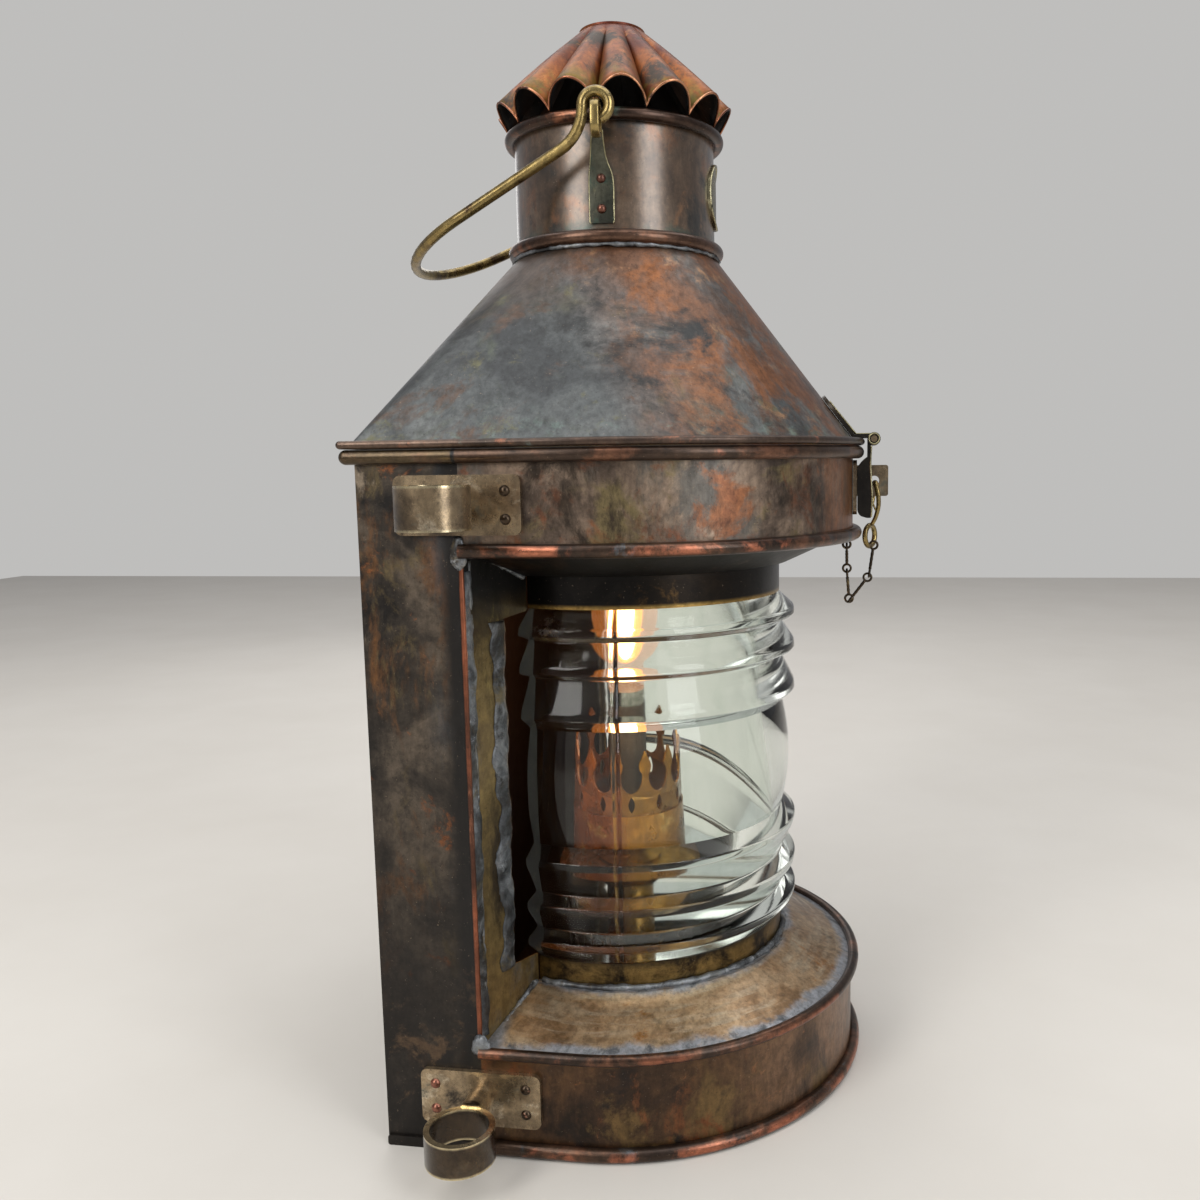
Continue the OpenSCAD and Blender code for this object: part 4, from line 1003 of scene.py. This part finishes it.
# Hasp: turned-in sides and worn bright edges
def make_hasp_sides():
    top, foot, out_x, in_x = 392.0, 353.5, 161.3, 152.9
    corner, bend_z, bend_in = 5.5, 383, 7.0
    plates, edges = [], []
    for side in (-1, 1):
        rows = []
        for z in spread(foot, top, 40):
            low = corner * (1 - math.sqrt(1 - max(0.0, 1 - (z - foot) / corner) ** 2))
            high = max(0.0, (z - bend_z) / (top - bend_z)) ** 2 * bend_in
            inner = in_x + low + high
            rows.append([Vector((x, side * y, z)) for x, y in (
                (inner, 13.9), (out_x, 13.9), (out_x, 13.0), (inner, 13.0))])
        plates.append(skinned(rows))
        path = []
        for z in spread(354, 398, 45):
            wave = 0.5 * math.sin((z - foot) * 0.14)
            path.append(Vector((out_x + 0.1 + wave, side * 13.7, z)))
        edges.append(tube(path, 0.6, 8))
    new_piece("hasp_sides", joined(*plates), DARK, "hasp", sharp=40)
    new_piece("hasp_edges", joined(*edges), EAR_EDGE, "hasp")


def make_strap_edges():
    """Bright edges of the strap on the hood, and of the ends of its barrel."""
    bend = ((160.6, 405.5), (152.0, 405.5), (138.7, 421.9), (135.4, 426.2))
    shapes = []
    for side in (-1, 1):
        corners = [Vector((x, side * 13.5, z)) for x, z in bend]
        path = [a.lerp(b, t) for a, b in zip(corners, corners[1:]) for t in spread(0, 0.9, 10)]
        shapes.append(tube(path, 0.5, 8))
        end = circle(Vector((163.0, side * 14.1, 402.4)), AHEAD, UPWARD, 3.2, 28)
        shapes.append(tube(end, 0.6, 8, True))
    new_piece("strap_edges", joined(*shapes), EAR_EDGE, "lid")


make_hasp_sides()
make_strap_edges()


# Ears of the bail: a riveted strap that narrows and turns out into an eye
# Each row has a height, the two edges and how far the strap stands off the neck
EAR_ROWS = (
    (528.1, -6.2, 6.2, 0), (528.8, -6.8, 6.8, 0), (530, -7, 7, 0), (540, -7, 7, 0), (548, -7, 7, 0),
    (553, -6.9, 6.7, 0.1), (557, -6.6, 5.7, 0.4), (561, -6.0, 4.2, 1.2), (565, -5.4, 3.2, 2.6),
    (569, -4.8, 2.8, 5.0), (573, -4.0, 2.7, 8.2), (577, -3.0, 2.7, 10.4))


def make_ear(side, word):
    turn = NECK_TURN + side * 90
    strap, eye_out, eye_r, eye_low, eye_high = 1.8, 80.0, 5.7, 578.2, 585.0
    rows, edges = [], ([], [])
    for z, left, right, lift in EAR_ROWS:
        r = NECK_R + 0.15 + lift
        places = [turn + math.degrees(s / r) for s in spread(left, right, 9)]
        rows.append([polar(r + strap, a, z) for a in places] + [polar(r, a, z) for a in reversed(places)])
        edges[0].append(polar(r + strap - 0.2, places[0], z))
        edges[1].append(polar(r + strap - 0.2, places[-1], z))
    strap_piece = new_piece("ear_strap_" + word, skinned(rows), EAR, "lid", sharp=50)
    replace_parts(strap_piece, "bail_ear_" + word)
    rims = [tube(smooth_path(edge, 4), 0.42, 8) for edge in edges]
    new_piece("ear_edges_" + word, joined(*rims), EAR_EDGE, "lid")
    steps = 48
    path = []
    for k in range(steps):
        t = 2 * math.pi * k / steps
        middle_z = eye_high if math.sin(t) >= 0 else eye_low
        path.append(polar(eye_out + eye_r * math.cos(t), turn, middle_z + eye_r * math.sin(t)))
    eye = bar(path, polar(1, turn + 90, 0), 5.2, 2.6, True)
    new_piece("ear_eye_" + word, eye, BAIL, "lid")


make_ear(-1, "left")
make_ear(1, "right")


def make_badge_rim():
    """Rim of the plain plate, bent round the neck."""
    middle = Vector((0, 0, (NECK_BEAD_Z + NECK_RIM_Z) / 2))
    flat = circle(middle, SIDEWAYS, UPWARD, 19.0, 48)
    ring = [polar(NECK_R + 1.5, NECK_TURN + math.degrees(p.y / NECK_R), p.z) for p in flat]
    new_piece("badge_rim", tube(ring, 0.9, 8, True), EAR_EDGE, "lid")


make_badge_rim()


# Gallery: pierced crown of spade points round the burner
def make_gallery():
    points, wall = 12, 1.3
    bay = math.pi * BURNER_R / points
    half = [
        (bay, 0), (bay, 1.5), (bay - 1.6, 3.5), (bay - 2.2, 6), (bay - 1.4, 8.5), (bay - 0.3, 10),
        (bay, 10.6), (bay, 12), (6.5, 12.8), (4, 15), (2.6, 18), (2, 21),
        (2.2, 22.5), (3.8, 24.5), (4.2, 27), (3.2, 29.5), (1.6, 32), (0.4, 34.8)]
    outline = half + [(-x, y) for x, y in reversed(half)]
    shapes = []
    for k in range(points):
        rows = [[polar(r, 360 * k / points + math.degrees(x / BURNER_R), GALLERY_Z + y) for x, y in outline]
                for r in (BURNER_R, BURNER_R - wall)]
        shapes.append(skinned(rows))
    gallery = new_piece("gallery_points", joined(*shapes), LAMP_BRASS, "case", False)
    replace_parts(gallery, "burner_gallery")


make_gallery()


# Camera, light and floor, in metres; the lens is given in pixels of a square frame
FRAME_PX = 1200
FOCAL_PX = 1088.32
SHIFT_PX = -90
SENSOR = 36
CAMERA_PLACE = Vector((0.1536, -0.7036, 0.3885))
CAMERA_WAY = Vector((-0.1525, 0.9805, -0.1241))
CAMERA_ROLL = -0.82
AMBIENT = (0.30, 0.30, 0.31, 1)
BACKDROP = (0.52, 0.515, 0.505, 1)
MIDDLE = (0, 0, 0.35)


def make_camera():
    data = bpy.data.cameras.new("camera")
    data.sensor_width = SENSOR
    data.lens = SENSOR * FOCAL_PX / FRAME_PX
    data.shift_x = SHIFT_PX / FRAME_PX
    data.clip_start = 0.01
    camera = bpy.data.objects.new("camera", data)
    forward = CAMERA_WAY.normalized()
    level = forward.cross(UPWARD).normalized()
    upright = level.cross(forward)
    roll = math.radians(CAMERA_ROLL)
    right = level * math.cos(roll) + upright * math.sin(roll)
    up = upright * math.cos(roll) - level * math.sin(roll)
    turn = Matrix((right, up, -forward)).transposed()
    camera.matrix_world = Matrix.Translation(CAMERA_PLACE) @ turn.to_4x4()
    bpy.context.scene.collection.objects.link(camera)
    bpy.context.scene.camera = camera


def new_lamp(name, kind, place, power, colour):
    data = bpy.data.lights.new(name, kind)
    data.energy = power
    data.color = colour
    lamp = bpy.data.objects.new(name, data)
    lamp.location = place
    bpy.context.scene.collection.objects.link(lamp)
    return lamp


def make_light(name, place, target, size, power, colour):
    """Rectangular lamp that faces its target."""
    lamp = new_lamp(name, "AREA", place, power, colour)
    lamp.data.shape = "RECTANGLE"
    lamp.data.size, lamp.data.size_y = size
    lamp.rotation_euler = (Vector(target) - Vector(place)).to_track_quat("-Z", "Y").to_euler()


def make_inner_light(name, place, power, colour, soft):
    """Small lamp inside the case, hidden from direct view."""
    lamp = new_lamp(name, "POINT", place, power, colour)
    lamp.data.shadow_soft_size = soft
    lamp.visible_camera = lamp.visible_glossy = lamp.visible_transmission = False


def make_world():
    """Pale background for what is seen directly or through the glass, dimmer light for the rest."""
    world = bpy.data.worlds.new("studio")
    world.use_nodes = True
    bpy.context.scene.world = world
    kit = Kit(world.node_tree)
    rays = ("Is Camera Ray", "Is Transmission Ray")
    seen = [kit.node("ShaderNodeLightPath", {}, {}, ray) for ray in rays]
    shown = kit.mix(kit.most(*seen), AMBIENT, BACKDROP)
    kit.plug(kit.tree.nodes["Background"].inputs["Color"], shown)


def make_floor():
    half = 3.0
    corners = [(-half, -half, 0), (half, -half, 0), (half, half, 0), (-half, half, 0)]
    mesh = bpy.data.meshes.new("floor")
    mesh.from_pydata(corners, [], [(0, 1, 2, 3)])
    floor = bpy.data.objects.new("floor", mesh)
    bpy.context.scene.collection.objects.link(floor)
    f = Finish("floor_pale")
    shade = f.mix(f.noise(6, 5, 0.6), rgb("#c8c3bb"), rgb("#d2cec7"))
    mesh.materials.append(f.paint(colour=shade, rough=0.7 + 0.1 * f.noise(30), metal=0.0))


make_camera()
make_light("key", (-0.9, -1.5, 1.3), MIDDLE, (0.7, 1.3), 20, (1.0, 0.98, 0.95))
make_light("fill", (1.3, -1.0, 0.9), MIDDLE, (0.6, 1.3), 13, (0.96, 0.98, 1.0))
make_light("top", (0, 0, 3.2), (0, 0, 0), (4.0, 4.0), 90, (1.0, 1.0, 1.0))
make_light("rim", (-0.6, 1.5, 1.1), MIDDLE, (1.0, 1.0), 4, (1.0, 0.98, 0.96))
make_inner_light("bulb_light", (0, 0, 0.295), 2.2, (1.0, 0.55, 0.23), 0.02)
make_inner_light("through_glass", (0.03, -0.078, 0.215), 0.50, (1.0, 0.70, 0.40), 0.012)
make_inner_light("scattered_glow", (-0.052, -0.070, 0.205), 0.42, (1.0, 0.60, 0.28), 0.012)
make_world()
make_floor()
bpy.context.scene.view_settings.view_transform = "Standard"
